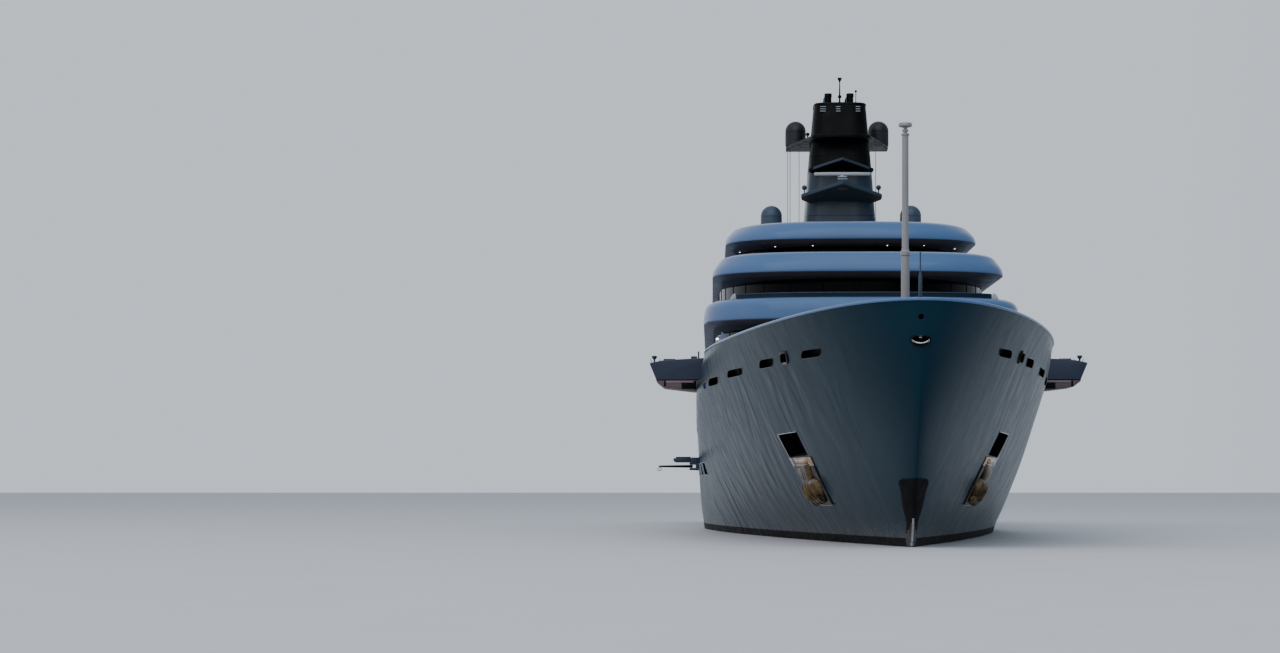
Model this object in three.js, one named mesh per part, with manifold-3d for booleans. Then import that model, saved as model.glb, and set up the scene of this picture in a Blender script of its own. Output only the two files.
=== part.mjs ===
// A large motor yacht, 140 m long, as a scale model at 1:10.
// The sizes below are the real yacht's, in metres. +Z is up, the bow looks along -Y, port is +X.
// The origin is on the centreline amidships, at the waterline.
import * as THREE from "three";
import { mergeVertices } from "three/addons/utils/BufferGeometryUtils.js";
import Module from "manifold-3d";

const wasm = await Module();
wasm.setup();

// Model millimetres for one metre of the real yacht, which is what makes it 1:10.
const MODEL_MM_PER_METRE = 100;
// What touching pieces leave between them: 0.3 mm on the model.
const GAP = 0.003;

const BOW = -70;
const TRANSOM = 59.5;
const HULL_END = 66.5;
const STERN = 69.6;
const DRAFT = 5.5;
const MAIN_DECK = 10.6;
const AFT_DECK = 7.2;
const PLATFORM_DECK = 1.8;
const PLATFORM_SEAT = 1.5;
const BULWARK = 0.4;
const SIDES = [
  { side: "port", s: 1 },
  { side: "starboard", s: -1 },
];

const PAINT = {
  hull: new THREE.MeshStandardMaterial({ color: "#6F7F8B", roughness: 0.22, metalness: 0.1 }),
  white: new THREE.MeshStandardMaterial({ color: "#B4C3D4", roughness: 0.25, metalness: 0 }),
  slate: new THREE.MeshStandardMaterial({ color: "#8A96A3", roughness: 0.25, metalness: 0 }),
  glass: new THREE.MeshStandardMaterial({ color: "#06080B", roughness: 0.05, metalness: 0 }),
  black: new THREE.MeshStandardMaterial({ color: "#15171A", roughness: 0.4, metalness: 0 }),
  steel: new THREE.MeshStandardMaterial({ color: "#C3C7CB", roughness: 0.15, metalness: 1 }),
  bronze: new THREE.MeshStandardMaterial({ color: "#A9824C", roughness: 0.3, metalness: 1 }),
  teak: new THREE.MeshStandardMaterial({ color: "#A9855C", roughness: 0.7, metalness: 0 }),
  dome: new THREE.MeshStandardMaterial({ color: "#C9D3DE", roughness: 0.4, metalness: 0 }),
};

const clamp = (v, low, high) => Math.min(high, Math.max(low, v));
const mix = (a, b, t) => a + (b - a) * t;

function smoothstep(from, to, v) {
  const t = clamp((v - from) / (to - from), 0, 1);
  return t * t * (3 - 2 * t);
}

// Solids and how they become meshes.

const group = new THREE.Group();

// A closed surface from points and triangles, turned so that its faces point out.
function solidFrom(points, triangles) {
  let volume = 0;
  const [a, b, c] = [new THREE.Vector3(), new THREE.Vector3(), new THREE.Vector3()];
  const corner = (into, i) => into.fromArray(points, 3 * i);
  for (let i = 0; i < triangles.length; i += 3) {
    corner(a, triangles[i]);
    corner(b, triangles[i + 1]);
    corner(c, triangles[i + 2]);
    volume += a.dot(b.cross(c));
  }
  const triVerts = new Uint32Array(triangles);
  if (volume < 0) triVerts.reverse();
  return new wasm.Manifold(
    new wasm.Mesh({ numProp: 3, vertProperties: new Float32Array(points), triVerts }),
  );
}

// A three.js geometry as a solid, with its doubled vertices merged and its collapsed faces dropped.
function solid(geometry) {
  const bare = geometry.clone();
  bare.deleteAttribute("normal");
  bare.deleteAttribute("uv");
  const merged = mergeVertices(bare, 1e-5);
  const index = merged.index.array;
  const kept = [];
  for (let i = 0; i < index.length; i += 3) {
    const [p, q, r] = [index[i], index[i + 1], index[i + 2]];
    if (p !== q && q !== r && r !== p) kept.push(p, q, r);
  }
  return solidFrom(merged.attributes.position.array, kept);
}

function add(name, shape, material) {
  const mesh = shape.getMesh();
  const geometry = new THREE.BufferGeometry();
  geometry.setAttribute("position", new THREE.BufferAttribute(mesh.vertProperties, 3));
  geometry.setIndex(new THREE.BufferAttribute(mesh.triVerts, 1));
  geometry.scale(MODEL_MM_PER_METRE, MODEL_MM_PER_METRE, MODEL_MM_PER_METRE);
  const flat = geometry.toNonIndexed();
  flat.computeVertexNormals();
  const piece = new THREE.Mesh(flat, material);
  piece.name = name;
  group.add(piece);
}

const union = (...solids) => solids.reduce((whole, next) => whole.add(next));

function box(x0, x1, y0, y1, z0, z1) {
  return solid(
    new THREE.BoxGeometry(Math.abs(x1 - x0), Math.abs(y1 - y0), Math.abs(z1 - z0)).translate(
      (x0 + x1) / 2,
      (y0 + y1) / 2,
      (z0 + z1) / 2,
    ),
  );
}

// An outline given as [u, v] pairs, pushed along one axis: u and v are y,z for X; x,z for Y; x,y for Z.
function prism(outline, axis, from, to) {
  const shape = new THREE.Shape(outline.map(([u, v]) => new THREE.Vector2(u, v)));
  const geometry = new THREE.ExtrudeGeometry(shape, { depth: to - from, bevelEnabled: false });
  geometry.translate(0, 0, from);
  const turn = {
    X: [0, 0, 1, 0, 1, 0, 0, 0, 0, 1, 0, 0],
    Y: [1, 0, 0, 0, 0, 0, 1, 0, 0, 1, 0, 0],
    Z: [1, 0, 0, 0, 0, 1, 0, 0, 0, 0, 1, 0],
  }[axis];
  return solid(geometry.applyMatrix4(new THREE.Matrix4().set(...turn, 0, 0, 0, 1)));
}

// A round bar between two points, wider or narrower at its far end if two radii are given.
function bar(from, to, radius, endRadius = radius, sides = 12) {
  const [a, b] = [new THREE.Vector3(...from), new THREE.Vector3(...to)];
  const along = b.clone().sub(a);
  const geometry = new THREE.CylinderGeometry(endRadius, radius, along.length(), sides);
  geometry.applyQuaternion(
    new THREE.Quaternion().setFromUnitVectors(new THREE.Vector3(0, 1, 0), along.normalize()),
  );
  return solid(geometry.translate((a.x + b.x) / 2, (a.y + b.y) / 2, (a.z + b.z) / 2));
}

// A turned shape on an upright axis, from [radius, height] pairs that start and end on the axis.
function turned(profile, x, y, sides = 16) {
  const points = profile.map(([r, z]) => new THREE.Vector2(r, z));
  const geometry = new THREE.LatheGeometry(points, sides);
  return solid(geometry.rotateX(Math.PI / 2).translate(x, y, 0));
}

// Rings of points, one above the next and each anticlockwise from above, joined into a closed skin.
// A ring wall comes back to its first ring, and any other skin is closed by its two end faces.
function skin(rings, { ringWall = false } = {}) {
  const count = rings[0].length;
  const points = rings.flat(2);
  const triangles = [];
  const spans = ringWall ? rings.length : rings.length - 1;
  for (let i = 0; i < spans; i++)
    for (let j = 0; j < count; j++) {
      const [low, high] = [i * count, ((i + 1) % rings.length) * count];
      const next = (j + 1) % count;
      triangles.push(low + j, low + next, high + next, low + j, high + next, high + j);
    }
  if (!ringWall)
    for (const [ring, up] of [
      [0, false],
      [rings.length - 1, true],
    ]) {
      const centre = points.length / 3;
      const middle = (k) => rings[ring].reduce((sum, p) => sum + p[k], 0) / count;
      points.push(middle(0), middle(1), middle(2));
      for (let j = 0; j < count; j++) {
        const [p, q] = [ring * count + j, ring * count + ((j + 1) % count)];
        triangles.push(centre, up ? p : q, up ? q : p);
      }
    }
  const geometry = new THREE.BufferGeometry();
  geometry.setAttribute("position", new THREE.Float32BufferAttribute(points, 3));
  geometry.setIndex(triangles);
  return solid(geometry);
}

// The hull's form.

// The top edge of the hull without its steps, then with the two steps down to the stern.
const fullSheer = (y) => 11.37 + (y < -20 ? 0.684 * ((-20 - y) / 50) ** 2.63 : 0);
const STEP_UP = { from: 28, to: 38, drop: 3.05 };
const STEP_STERN = { from: 59.6, to: 64.4, drop: 6.5 };
const sheer = (y) =>
  [STEP_UP, STEP_STERN].reduce(
    (z, step) => z - step.drop * smoothstep(step.from, step.to, y),
    fullSheer(y),
  );
const keel = (y) => -DRAFT + 4.8 * (clamp(y - 22, 0, 44.5) / 44.5) ** 1.7;

// Levels of the hull. share: of the sheer's height above water, of the keel's depth below it.
// back: how far its stem lies aft of the bow's. half: half of the beam. entrance: length to the full beam.
// a, b: fullness of the waterline at the bow.
const LEVELS = [
  { share: 1, back: -0.4, half: 10.55, entrance: 41, a: 1.38, b: 0.484 },
  { share: 0.82, back: 0.25, half: 11.13, entrance: 49.2, a: 1.32, b: 0.585 },
  { share: 0.5, back: 1.43, half: 11.08, entrance: 64.9, a: 1.665, b: 0.777 },
  { share: 0.17, back: 5.08, half: 10.92, entrance: 71.6, a: 1.41, b: 0.822 },
  { share: 0, back: 6.65, half: 10.69, entrance: 77.6, a: 1.54, b: 1 },
  { share: -0.2, back: 6.85, half: 10.54, entrance: 77.6, a: 1.54, b: 1.05 },
  { share: -0.5, back: 7.7, half: 10.1, entrance: 78, a: 1.5, b: 1.15 },
  { share: -0.85, back: 9.4, half: 8.6, entrance: 78, a: 1.5, b: 1.25 },
  { share: -1, back: 10.9, half: 4.6, entrance: 75, a: 1.5, b: 1.3 },
];
const ROWS = [1, 0.91, 0.82, 0.72, 0.61, 0.5, 0.39, 0.28, 0.17, 0.08, 0, -0.2, -0.5, -0.7, -0.85, -0.95, -1];
const STATIONS = [
  0, 0.0007, 0.0025, 0.006, 0.012, 0.02, 0.032, 0.048, 0.07, 0.096, 0.126, 0.16, 0.2, 0.245,
  0.295, 0.35, 0.41, 0.475, 0.54, 0.61, 0.68, 0.74, 0.79, 0.84, 0.88, 0.92, 0.96, 1,
];

// One column of LEVELS at any share, on a smooth curve through the levels.
function levelAt(share, column) {
  const s = clamp(share, -1, 1);
  let i = 0;
  while (i < LEVELS.length - 2 && s < LEVELS[i + 1].share) i++;
  const slope = (k) => {
    const before = LEVELS[Math.max(0, k - 1)];
    const after = LEVELS[Math.min(LEVELS.length - 1, k + 1)];
    return (after[column] - before[column]) / (after.share - before.share);
  };
  const [p, q] = [LEVELS[i], LEVELS[i + 1]];
  const width = q.share - p.share;
  const t = (s - p.share) / width;
  const [t2, t3] = [t * t, t * t * t];
  return (
    (2 * t3 - 3 * t2 + 1) * p[column] +
    (t3 - 2 * t2 + t) * width * slope(i) +
    (3 * t2 - 2 * t3) * q[column] +
    (t3 - t2) * width * slope(i + 1)
  );
}

function halfBeamAtShare(y, share) {
  const t = clamp((y - BOW - levelAt(share, "back")) / levelAt(share, "entrance"), 0, 1);
  const bow = (1 - (1 - t) ** levelAt(share, "a")) ** levelAt(share, "b");
  const stern = 1 - 0.13 * (clamp(y - 20, 0, 50) / 46) ** 2;
  return levelAt(share, "half") * bow * stern;
}
const halfBeam = (y, z) => halfBeamAtShare(y, z >= 0 ? z / fullSheer(y) : z / -keel(y));

// The whole hull up to its full sheer, as rings from port round the keel to starboard.
function hullBody() {
  const rings = STATIONS.map((u) => {
    const row = (share, s) => {
      const stem = BOW + levelAt(share, "back");
      const y = mix(stem, HULL_END, u);
      const z = share >= 0 ? share * fullSheer(y) : -share * keel(y);
      return [s * halfBeamAtShare(y, share), y, z];
    };
    const port = ROWS.map((share) => row(share, 1));
    const starboard = ROWS.map((share) => row(share, -1)).reverse();
    return [...port, ...starboard];
  });
  return skin(rings);
}

// A well cut down to a deck inside the bulwarks, from a list of places along the yacht.
function deckWell(floor, places) {
  const ring = (height, over) => {
    const edge = (y, s) => {
      const z = height === "floor" ? floor : fullSheer(y);
      return [s * Math.max(0.05, halfBeam(y, z) - BULWARK), y, over ?? z];
    };
    return [...places.map((y) => edge(y, 1)), ...[...places].reverse().map((y) => edge(y, -1))];
  };
  return skin([ring("floor"), ring("sheer"), ring("sheer", 14)]);
}

const BULB = { y: -58, z: -3.3, radii: [1.6, 6, 1.7] };
const SKEG = { half: 0.25, outline: [[26, -3], [34, -DRAFT], [50, -DRAFT], [53, -1]] };
const MAIN_WELL_AFT = 30;
const STAIR = { inner: 5.2, outer: 7.8, top: 53.1, risers: 18 };
const DOOR = { half: 4.5, low: 2, high: 6.4, thick: 0.35, clear: 0.05 };
const CLUB = { half: 4.3, front: 51.5, low: 2.1, high: 6.2 };
const ANCHOR = { front: -51.9, back: -47.5, top: 6, sill: 4.7, foot: 2.1, depth: 0.8, plate: 0.08 };
const FAIRLEAD = { z: 10.2, half: 0.5, high: 0.3, wall: 0.1, front: -70.15, back: -68.6 };
const RUDDER = { x: 4.2, y: 60.8, stock: 0.22, bore: 0.24, top: -1.2, low: -5.2, head: -2.35, chord: 2.6 };

const oval = (rx, rz, sides = 18) =>
  Array.from({ length: sides }, (_, i) => {
    const angle = (2 * Math.PI * i) / sides;
    return [rx * Math.cos(angle), FAIRLEAD.z + rz * Math.sin(angle)];
  });

function hullShape() {
  const bulb = solid(
    new THREE.SphereGeometry(1, 14, 10).scale(...BULB.radii).translate(0, BULB.y, BULB.z),
  );
  const body = union(hullBody(), bulb, prism(SKEG.outline, "X", -SKEG.half, SKEG.half));

  const steps = [26, 28, 30, 31.5, 33, 34.5, 36, 38, 59.6, 60.6, 61.5, 62.4, 63.4, 64.4, 68];
  const aboveSheer = [...steps.map((y) => [y, Math.min(sheer(y), y < 28 ? 12 : 99)]), [68, 14], [26, 14]];
  const cuts = [
    prism(aboveSheer, "X", -14, 14),
    deckWell(MAIN_DECK, [-69.4, -68.9, -67.8, -66, -63.5, -60, -55, -48, -40, -30, -18, -5, 10, MAIN_WELL_AFT]),
    deckWell(AFT_DECK, [MAIN_WELL_AFT, 36, 42, 48, 54, TRANSOM - 0.6]),
    box(-8.2, 8.2, TRANSOM, 68, PLATFORM_SEAT, 14),
    box(-12, 12, STEP_STERN.to, 68, PLATFORM_SEAT, 14),
    box(-CLUB.half, CLUB.half, CLUB.front, TRANSOM, CLUB.low, CLUB.high),
    box(
      -DOOR.half - DOOR.clear,
      DOOR.half + DOOR.clear,
      TRANSOM - DOOR.thick - GAP,
      TRANSOM + 1,
      DOOR.low - DOOR.clear,
      DOOR.high + DOOR.clear,
    ),
    prism(oval(FAIRLEAD.half - FAIRLEAD.wall, FAIRLEAD.high - FAIRLEAD.wall), "Y", -71, FAIRLEAD.back),
    ...SIDES.flatMap(({ s }) => [
      box(s * STAIR.inner, s * STAIR.outer, STAIR.top, TRANSOM + 0.1, PLATFORM_SEAT, 14),
      box(0.1 * s, 12 * s, ANCHOR.front, ANCHOR.back, ANCHOR.sill, ANCHOR.top).subtract(
        body.translate(-s * ANCHOR.depth, 0, 0),
      ),
      bar([s * RUDDER.x, RUDDER.y, -4], [s * RUDDER.x, RUDDER.y, RUDDER.top], RUDDER.bore, RUDDER.bore, 16),
    ]),
  ];
  return cuts.reduce((hull, cut) => hull.subtract(cut), body);
}

const hull = hullShape();
const hullSkin = hullBody();
add("hull", hull, PAINT.hull);

// The outer shape of the hull pushed outwards to one side and up, which cuts what sits on it.
const pushed = (s, out, up = 0) => hullSkin.translate(s * out, 0, up);

// The stem: a polished plate, and an oval fairlead above it.

// The plate's half width at each height, from its foot up.
const STEM_PLATE = [
  { half: 0.22, z: 0.05 },
  { half: 0.29, z: 1.2 },
  { half: 0.5, z: 2.05 },
  { half: 0.77, z: 3.3 },
  { half: 0.65, z: 3.45 },
];
const STEM_PLATE_THICK = 0.12;

function stemPlate() {
  const outline = [
    ...STEM_PLATE.map(({ half, z }) => [half, z]),
    ...[...STEM_PLATE].reverse().map(({ half, z }) => [-half, z]),
  ];
  return hullSkin
    .translate(0, -STEM_PLATE_THICK, 0)
    .intersect(prism(outline, "Y", BOW, -54))
    .subtract(hullSkin.translate(0, -GAP, 0));
}
add("stem_plate", stemPlate(), PAINT.steel);

function bowFairlead() {
  const tube = prism(oval(FAIRLEAD.half, FAIRLEAD.high), "Y", FAIRLEAD.front, FAIRLEAD.back).subtract(
    prism(oval(FAIRLEAD.half - FAIRLEAD.wall, FAIRLEAD.high - FAIRLEAD.wall), "Y", -71, -67),
  );
  return tube.subtract(hullSkin.translate(0, -GAP, 0));
}
add("bow_fairlead", bowFairlead(), PAINT.steel);

// The anchors, stowed against polished plates below their pockets.

function anchorPlate(s) {
  const reach = box(0.1 * s, 12 * s, ANCHOR.front, ANCHOR.back, ANCHOR.foot, ANCHOR.sill);
  return pushed(s, ANCHOR.plate).intersect(reach).subtract(pushed(s, GAP));
}

// An anchor drawn flat, its shank along the steepest line of the hull's side.
const ANCHOR_OUTLINE = [
  [-0.22, 1.75],
  [-0.22, -0.75],
  [-1.1, 0.35],
  [-1.45, 0.2],
  [-1.0, -1.25],
  [1.0, -1.25],
  [1.45, 0.2],
  [1.1, 0.35],
  [0.22, -0.75],
  [0.22, 1.75],
];
const ANCHOR_THICK = 0.34;

function anchor(s) {
  const y = (ANCHOR.front + ANCHOR.back) / 2;
  const [highZ, lowZ] = [5.4, 2.4];
  const high = new THREE.Vector3(s * halfBeam(y, highZ), y, highZ);
  const low = new THREE.Vector3(s * halfBeam(y, lowZ), y, lowZ);
  const up = high.clone().sub(low).normalize();
  const ahead = 0.5;
  const along = new THREE.Vector3(
    s * (halfBeam(y + ahead, 4) - halfBeam(y - ahead, 4)),
    2 * ahead,
    0,
  ).normalize();
  const out = along.clone().cross(up).multiplyScalar(s).normalize();
  const upright = out.clone().cross(along).multiplyScalar(s).normalize();
  const middle = high.clone().lerp(low, 0.42).addScaledVector(out, 0.02);
  const shape = new THREE.Shape(ANCHOR_OUTLINE.map(([u, v]) => new THREE.Vector2(u, v)));
  const geometry = new THREE.ExtrudeGeometry(shape, { depth: ANCHOR_THICK, bevelEnabled: false });
  geometry.applyMatrix4(new THREE.Matrix4().makeBasis(along, upright, out).setPosition(middle));
  return solid(geometry)
    .subtract(pushed(s, ANCHOR.plate + GAP))
    .subtract(box(0, 14 * s, -80, 80, -20, ANCHOR.foot + 0.1));
}

for (const { side, s } of SIDES) {
  add(`anchor_plate_${side}`, anchorPlate(s), PAINT.steel);
  add(`anchor_${side}`, anchor(s), PAINT.steel);
}

// Foredeck gear: the folding foremast on its tabernacle, two capstans and the jackstaff.

const FOREMAST = {
  y: -58, pivot: 11.6, heel: 0.25, collar: 15.3, top: 22.2, low: 0.22, high: 0.18, cheek: 0.12,
};

function foremastBase() {
  const { y, pivot, heel, cheek } = FOREMAST;
  const cheeks = SIDES.map(({ s }) =>
    box(s * (heel + GAP), s * (heel + GAP + cheek), y - 0.4, y + 0.4, MAIN_DECK + GAP, pivot + 0.4),
  );
  const bosses = SIDES.map(({ s }) =>
    bar([s * (heel + 0.1), y, pivot], [s * (heel + 0.22), y, pivot], 0.16),
  );
  return union(box(-0.8, 0.8, y - 0.8, y + 0.8, MAIN_DECK + GAP, MAIN_DECK + 0.15), ...cheeks, ...bosses);
}

function foremast() {
  const { y, pivot, heel, collar, top, low, high } = FOREMAST;
  return union(
    box(-heel, heel, y - heel, y + heel, pivot - heel, pivot + 0.9),
    turned([[0, pivot + 0.5], [low, pivot + 0.5], [low, collar], [high, collar], [high, top], [0, top]], 0, y),
    turned([[0, collar - 0.1], [low + 0.05, collar - 0.1], [low + 0.05, collar + 0.05], [0, collar + 0.05]], 0, y),
    turned(
      [
        [0, top - 0.75], [0.3, top - 0.7], [0.3, top - 0.55], [0.2, top - 0.4],
        [0.34, top - 0.15], [0.34, top], [0, top],
      ],
      0,
      y,
    ),
  );
}
add("foremast_base", foremastBase(), PAINT.white);
add("foremast", foremast(), PAINT.white);

const CAPSTAN = { x: 2.4, y: -55 };
for (const { side, s } of SIDES) {
  const z = MAIN_DECK + GAP;
  const drum = [
    [0, z], [0.62, z], [0.62, z + 0.3], [0.3, z + 0.55],
    [0.3, z + 0.95], [0.5, z + 1.2], [0.5, z + 1.3], [0, z + 1.35],
  ];
  const chain = box(s * CAPSTAN.x - 0.45, s * CAPSTAN.x + 0.45, CAPSTAN.y - 3.2, CAPSTAN.y, z, z + 0.35);
  add(`capstan_${side}`, union(turned(drum, s * CAPSTAN.x, CAPSTAN.y), chain), PAINT.steel);
}

const JACKSTAFF = { y: -69.6, top: 14.5, low: 0.085, high: 0.035 };
function jackstaff() {
  const { top, low, high, y } = JACKSTAFF;
  const z = fullSheer(y);
  const foot = [[0, z - 0.1], [0.16, z - 0.1], [0.16, z + 0.08], [low, z + 0.12]];
  const pole = [[low, z + 1.3], [high, z + 1.45], [high, top], [0, top]];
  return turned([...foot, ...pole], 0, y).subtract(hullSkin.translate(0, 0, GAP));
}
add("jackstaff", jackstaff(), PAINT.black);

// The superstructure: each tier is a deck with a rounded fascia, on a deckhouse of a white sill and dark glass.

// The plan of a tier: a blunt rounded front, straight sides and a rounded stern. The front's corners
// run out over frontLength, and over topLength at the top of the fascia.
const CORNER_STEPS = 10;
function plan(outline, inset, z, rise = 0) {
  const { front, aft, half, frontLength, topLength = frontLength, aftLength, power, aftPower } = outline;
  const length = mix(frontLength, topLength, rise);
  const quarter = (reach, p, k) => {
    const angle = ((Math.PI / 2) * k) / CORNER_STEPS;
    return [(half - inset) * Math.sin(angle) ** (2 / p), (reach - inset) * Math.cos(angle) ** (2 / p)];
  };
  const port = [];
  for (let k = 0; k <= CORNER_STEPS; k++) {
    const [x, run] = quarter(length, power, k);
    port.push([x, front + length - run, z]);
  }
  for (let k = CORNER_STEPS; k >= 0; k--) {
    const [x, run] = quarter(aftLength, aftPower, k);
    port.push([x, aft - aftLength + run, z]);
  }
  const starboard = port.slice(1, -1).reverse();
  return [...port, ...starboard.map(([x, y, height]) => [-x, y, height])];
}

// Tiers from the lowest up. lip: the fascia's widest line. top: the coaming. soffit and floor: of the deck.
// low, mid, crown: how far the fascia has gone in at 35 % and 70 % of its rise, and at its top.
const TIERS = {
  upper: {
    plan: {
      front: -17.8, aft: 48, half: 10.7,
      frontLength: 9, topLength: 9, aftLength: 7, power: 3, aftPower: 3.2,
    },
    soffit: 13.9, lip: 14.15, floor: 14.6, top: 15.6, low: 0.02, mid: 0.12, crown: 0.62,
  },
  bridge: {
    plan: {
      front: -11.6, aft: 40, half: 10.1,
      frontLength: 7.5, topLength: 8.5, aftLength: 7, power: 3, aftPower: 3.2,
    },
    soffit: 17.45, lip: 17.7, floor: 18.05, top: 19.08, low: 0.1, mid: 0.42, crown: 0.95,
  },
  top: {
    plan: {
      front: -0.6, aft: 34, half: 9.15,
      frontLength: 7.5, topLength: 11, aftLength: 7, power: 3, aftPower: 3.2,
    },
    soffit: 20.55, lip: 20.8, floor: 21.6, top: 22.1, low: 0.06, mid: 0.35, crown: 0.95,
  },
};

// The main deck carries on over the aft deck as a slab with a coaming.
const MAIN_AFT = {
  plan: { front: 30 + GAP, aft: 47, half: 9.9, frontLength: 0.05, aftLength: 6, power: 8, aftPower: 3.2 },
  soffit: 10.1, lip: 10.3, floor: MAIN_DECK, top: 11.3,
};

// Deckhouses from the lowest up: on which floor, under which soffit, and how high the sill is.
const HOUSES = {
  main: {
    plan: { front: -13, aft: 30.7, half: 9.9, frontLength: 16, aftLength: 3, power: 2.5, aftPower: 5 },
    floor: MAIN_DECK, sill: 11.5, soffit: TIERS.upper.soffit,
  },
  upper: {
    plan: { front: -8, aft: 33, half: 9.6, frontLength: 17, aftLength: 3, power: 2.5, aftPower: 5 },
    floor: TIERS.upper.floor, sill: 15.3, soffit: TIERS.bridge.soffit,
  },
  bridge: {
    plan: { front: 3, aft: 30, half: 8.65, frontLength: 14, aftLength: 3, power: 2.5, aftPower: 5 },
    floor: TIERS.bridge.floor, sill: 18.7, soffit: TIERS.top.soffit,
  },
};
const WALL = 0.25;

function tierDeck({ plan: outline, soffit, lip, floor, top, low, mid, crown }) {
  const bulge = top - lip;
  const profile = [
    { inset: 3, z: soffit, rise: 0 },
    { inset: 0.7, z: soffit, rise: 0 },
    { inset: 0.12, z: lip - 0.06, rise: 0 },
    { inset: 0, z: lip + 0.05, rise: 0 },
    { inset: low, z: lip + 0.35 * bulge, rise: 0.2 },
    { inset: mid, z: lip + 0.7 * bulge, rise: 0.5 },
    { inset: crown, z: top, rise: 1 },
    { inset: crown + 0.2, z: top, rise: 1 },
    { inset: crown + 0.3, z: floor, rise: 1 },
  ];
  return skin(profile.map(({ inset, z, rise }) => plan(outline, inset, z, rise)));
}

function mainAftDeck() {
  const { plan: outline, soffit, lip, floor, top } = MAIN_AFT;
  const profile = [[0.6, soffit], [0, lip], [0, floor]];
  const slab = skin(profile.map(([inset, z]) => plan(outline, inset, z)));
  const coaming = skin(
    [[0, floor - 0.1], [0.15, top], [0.35, top], [0.35, floor - 0.1]].map(([inset, z]) => plan(outline, inset, z)),
    { ringWall: true },
  ).subtract(box(-14, 14, 0, 31, 0, 20));
  return union(slab, coaming);
}

const ringWall = (outline, low, high) =>
  skin(
    [[0, low], [0, high], [WALL, high], [WALL, low]].map(([inset, z]) => plan(outline, inset, z)),
    { ringWall: true },
  );

for (const [name, { plan: outline, floor, sill, soffit }] of Object.entries(HOUSES)) {
  add(`deckhouse_${name}`, ringWall(outline, floor + GAP, sill), PAINT.white);
  add(`glass_${name}`, ringWall(outline, sill + GAP, soffit - GAP), PAINT.glass);
}

const SALOON = { front: 30 + GAP, aft: 42, half: 8.6, frontLength: 0.4, aftLength: 3, power: 8, aftPower: 5 };
add("glass_saloon", ringWall(SALOON, AFT_DECK + GAP, MAIN_AFT.soffit - GAP), PAINT.glass);

for (const [name, tier] of Object.entries(TIERS)) add(`deck_${name}`, tierDeck(tier), PAINT.white);
add("deck_main_aft", mainAftDeck(), PAINT.white);

// Pillars carry the overhanging sterns of the tiers.
const PILLARS = [
  { name: "main", x: 7.6, y: 44.6, low: AFT_DECK, high: MAIN_AFT.soffit },
  { name: "upper", x: 7.6, y: 44.2, low: MAIN_DECK, high: TIERS.upper.soffit },
];
for (const { name, x, y, low, high } of PILLARS)
  for (const { side, s } of SIDES) {
    const pillar = box(s * (x - 0.14), s * (x + 0.14), y - 0.3, y + 0.3, low + GAP, high - GAP);
    add(`pillar_${name}_${side}`, pillar, PAINT.steel);
  }

// The mast tower on the top deck, black at its top, with its platforms, domes, radar and exhausts.

// Sections of the tower. half: half of its width. front, aft: its faces.
const TOWER_SPLIT = 28;
const TOWER_TOP = 33.48;
const TOWER = [
  { z: TIERS.top.floor + GAP, half: 2.95, front: 21.4, aft: 31 },
  { z: TOWER_SPLIT, half: 2.48, front: 22.1, aft: 30.2 },
  { z: TOWER_TOP, half: 2.03, front: 22.9, aft: 28.4 },
];
const TOWER_WELL = { floor: 31.2, wall: 0.25 };

function towerSection(z, grow) {
  const upper = z > TOWER[1].z;
  const [low, high] = upper ? [TOWER[1], TOWER[2]] : [TOWER[0], TOWER[1]];
  const t = (z - low.z) / (high.z - low.z);
  const outline = {
    half: mix(low.half, high.half, t) + grow,
    front: mix(low.front, high.front, t) - grow,
    aft: mix(low.aft, high.aft, t) + grow,
    frontLength: 1.6,
    aftLength: 2.4,
    power: 3.4,
    aftPower: 2.6,
  };
  return plan(outline, 0, z);
}
const tower = (low, high, grow = 0) => skin([towerSection(low, grow), towerSection(high, grow)]);

const SLOT = { groups: [-1.25, 0, 1.25], heights: [32.7, 32.92, 33.14], half: 0.42, high: 0.13 };

function funnel() {
  const shell = tower(TOWER_SPLIT + GAP, TOWER_TOP).subtract(
    tower(TOWER_WELL.floor, TOWER_TOP + 0.2, -TOWER_WELL.wall),
  );
  const slots = SLOT.groups.flatMap((x) =>
    SLOT.heights.map((z) => box(x - SLOT.half, x + SLOT.half, 20, 32, z, z + SLOT.high)),
  );
  return shell.subtract(union(...slots));
}
add("mast_tower", tower(TIERS.top.floor + GAP, TOWER_SPLIT), PAINT.slate);
add("funnel", funnel(), PAINT.black);

for (const { side, s } of SIDES) {
  const foot = [0.87 * s, 25.6, TOWER_WELL.floor + GAP];
  add(`exhaust_${side}`, bar(foot, [0.87 * s, 25.6, 34.5], 0.28), PAINT.steel);
}
add(
  "antenna",
  turned(
    [
      [0, TOWER_WELL.floor + GAP], [0.22, TOWER_WELL.floor + GAP], [0.2, 33.6], [0.07, 33.95],
      [0.05, 35.3], [0.17, 35.5], [0.17, 35.6], [0, 35.6],
    ],
    0,
    24.4,
  ),
  PAINT.black,
);

// A flat plate that rises towards its point and is cut to fit round the tower.
function towerPlate(outline, root, low, thick, rise) {
  const mirrored = [...outline, ...[...outline].reverse().filter(([x]) => x > 0).map(([x, y]) => [-x, y])];
  const shape = new THREE.Shape(mirrored.map(([x, y]) => new THREE.Vector2(x, y)));
  const geometry = new THREE.ExtrudeGeometry(shape, { depth: thick, bevelEnabled: false }).translate(0, 0, low);
  const points = geometry.attributes.position;
  for (let i = 0; i < points.count; i++)
    points.setZ(i, points.getZ(i) + rise * Math.max(0, root - points.getY(i)));
  return solid(geometry).subtract(tower(TOWER[0].z, TOWER_SPLIT, GAP)).subtract(tower(TOWER_SPLIT, TOWER_TOP, GAP));
}

const RADAR = { y: 19.4, seat: 27.25, reach: 2.2, low: 27.3, high: 27.6 };

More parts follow.
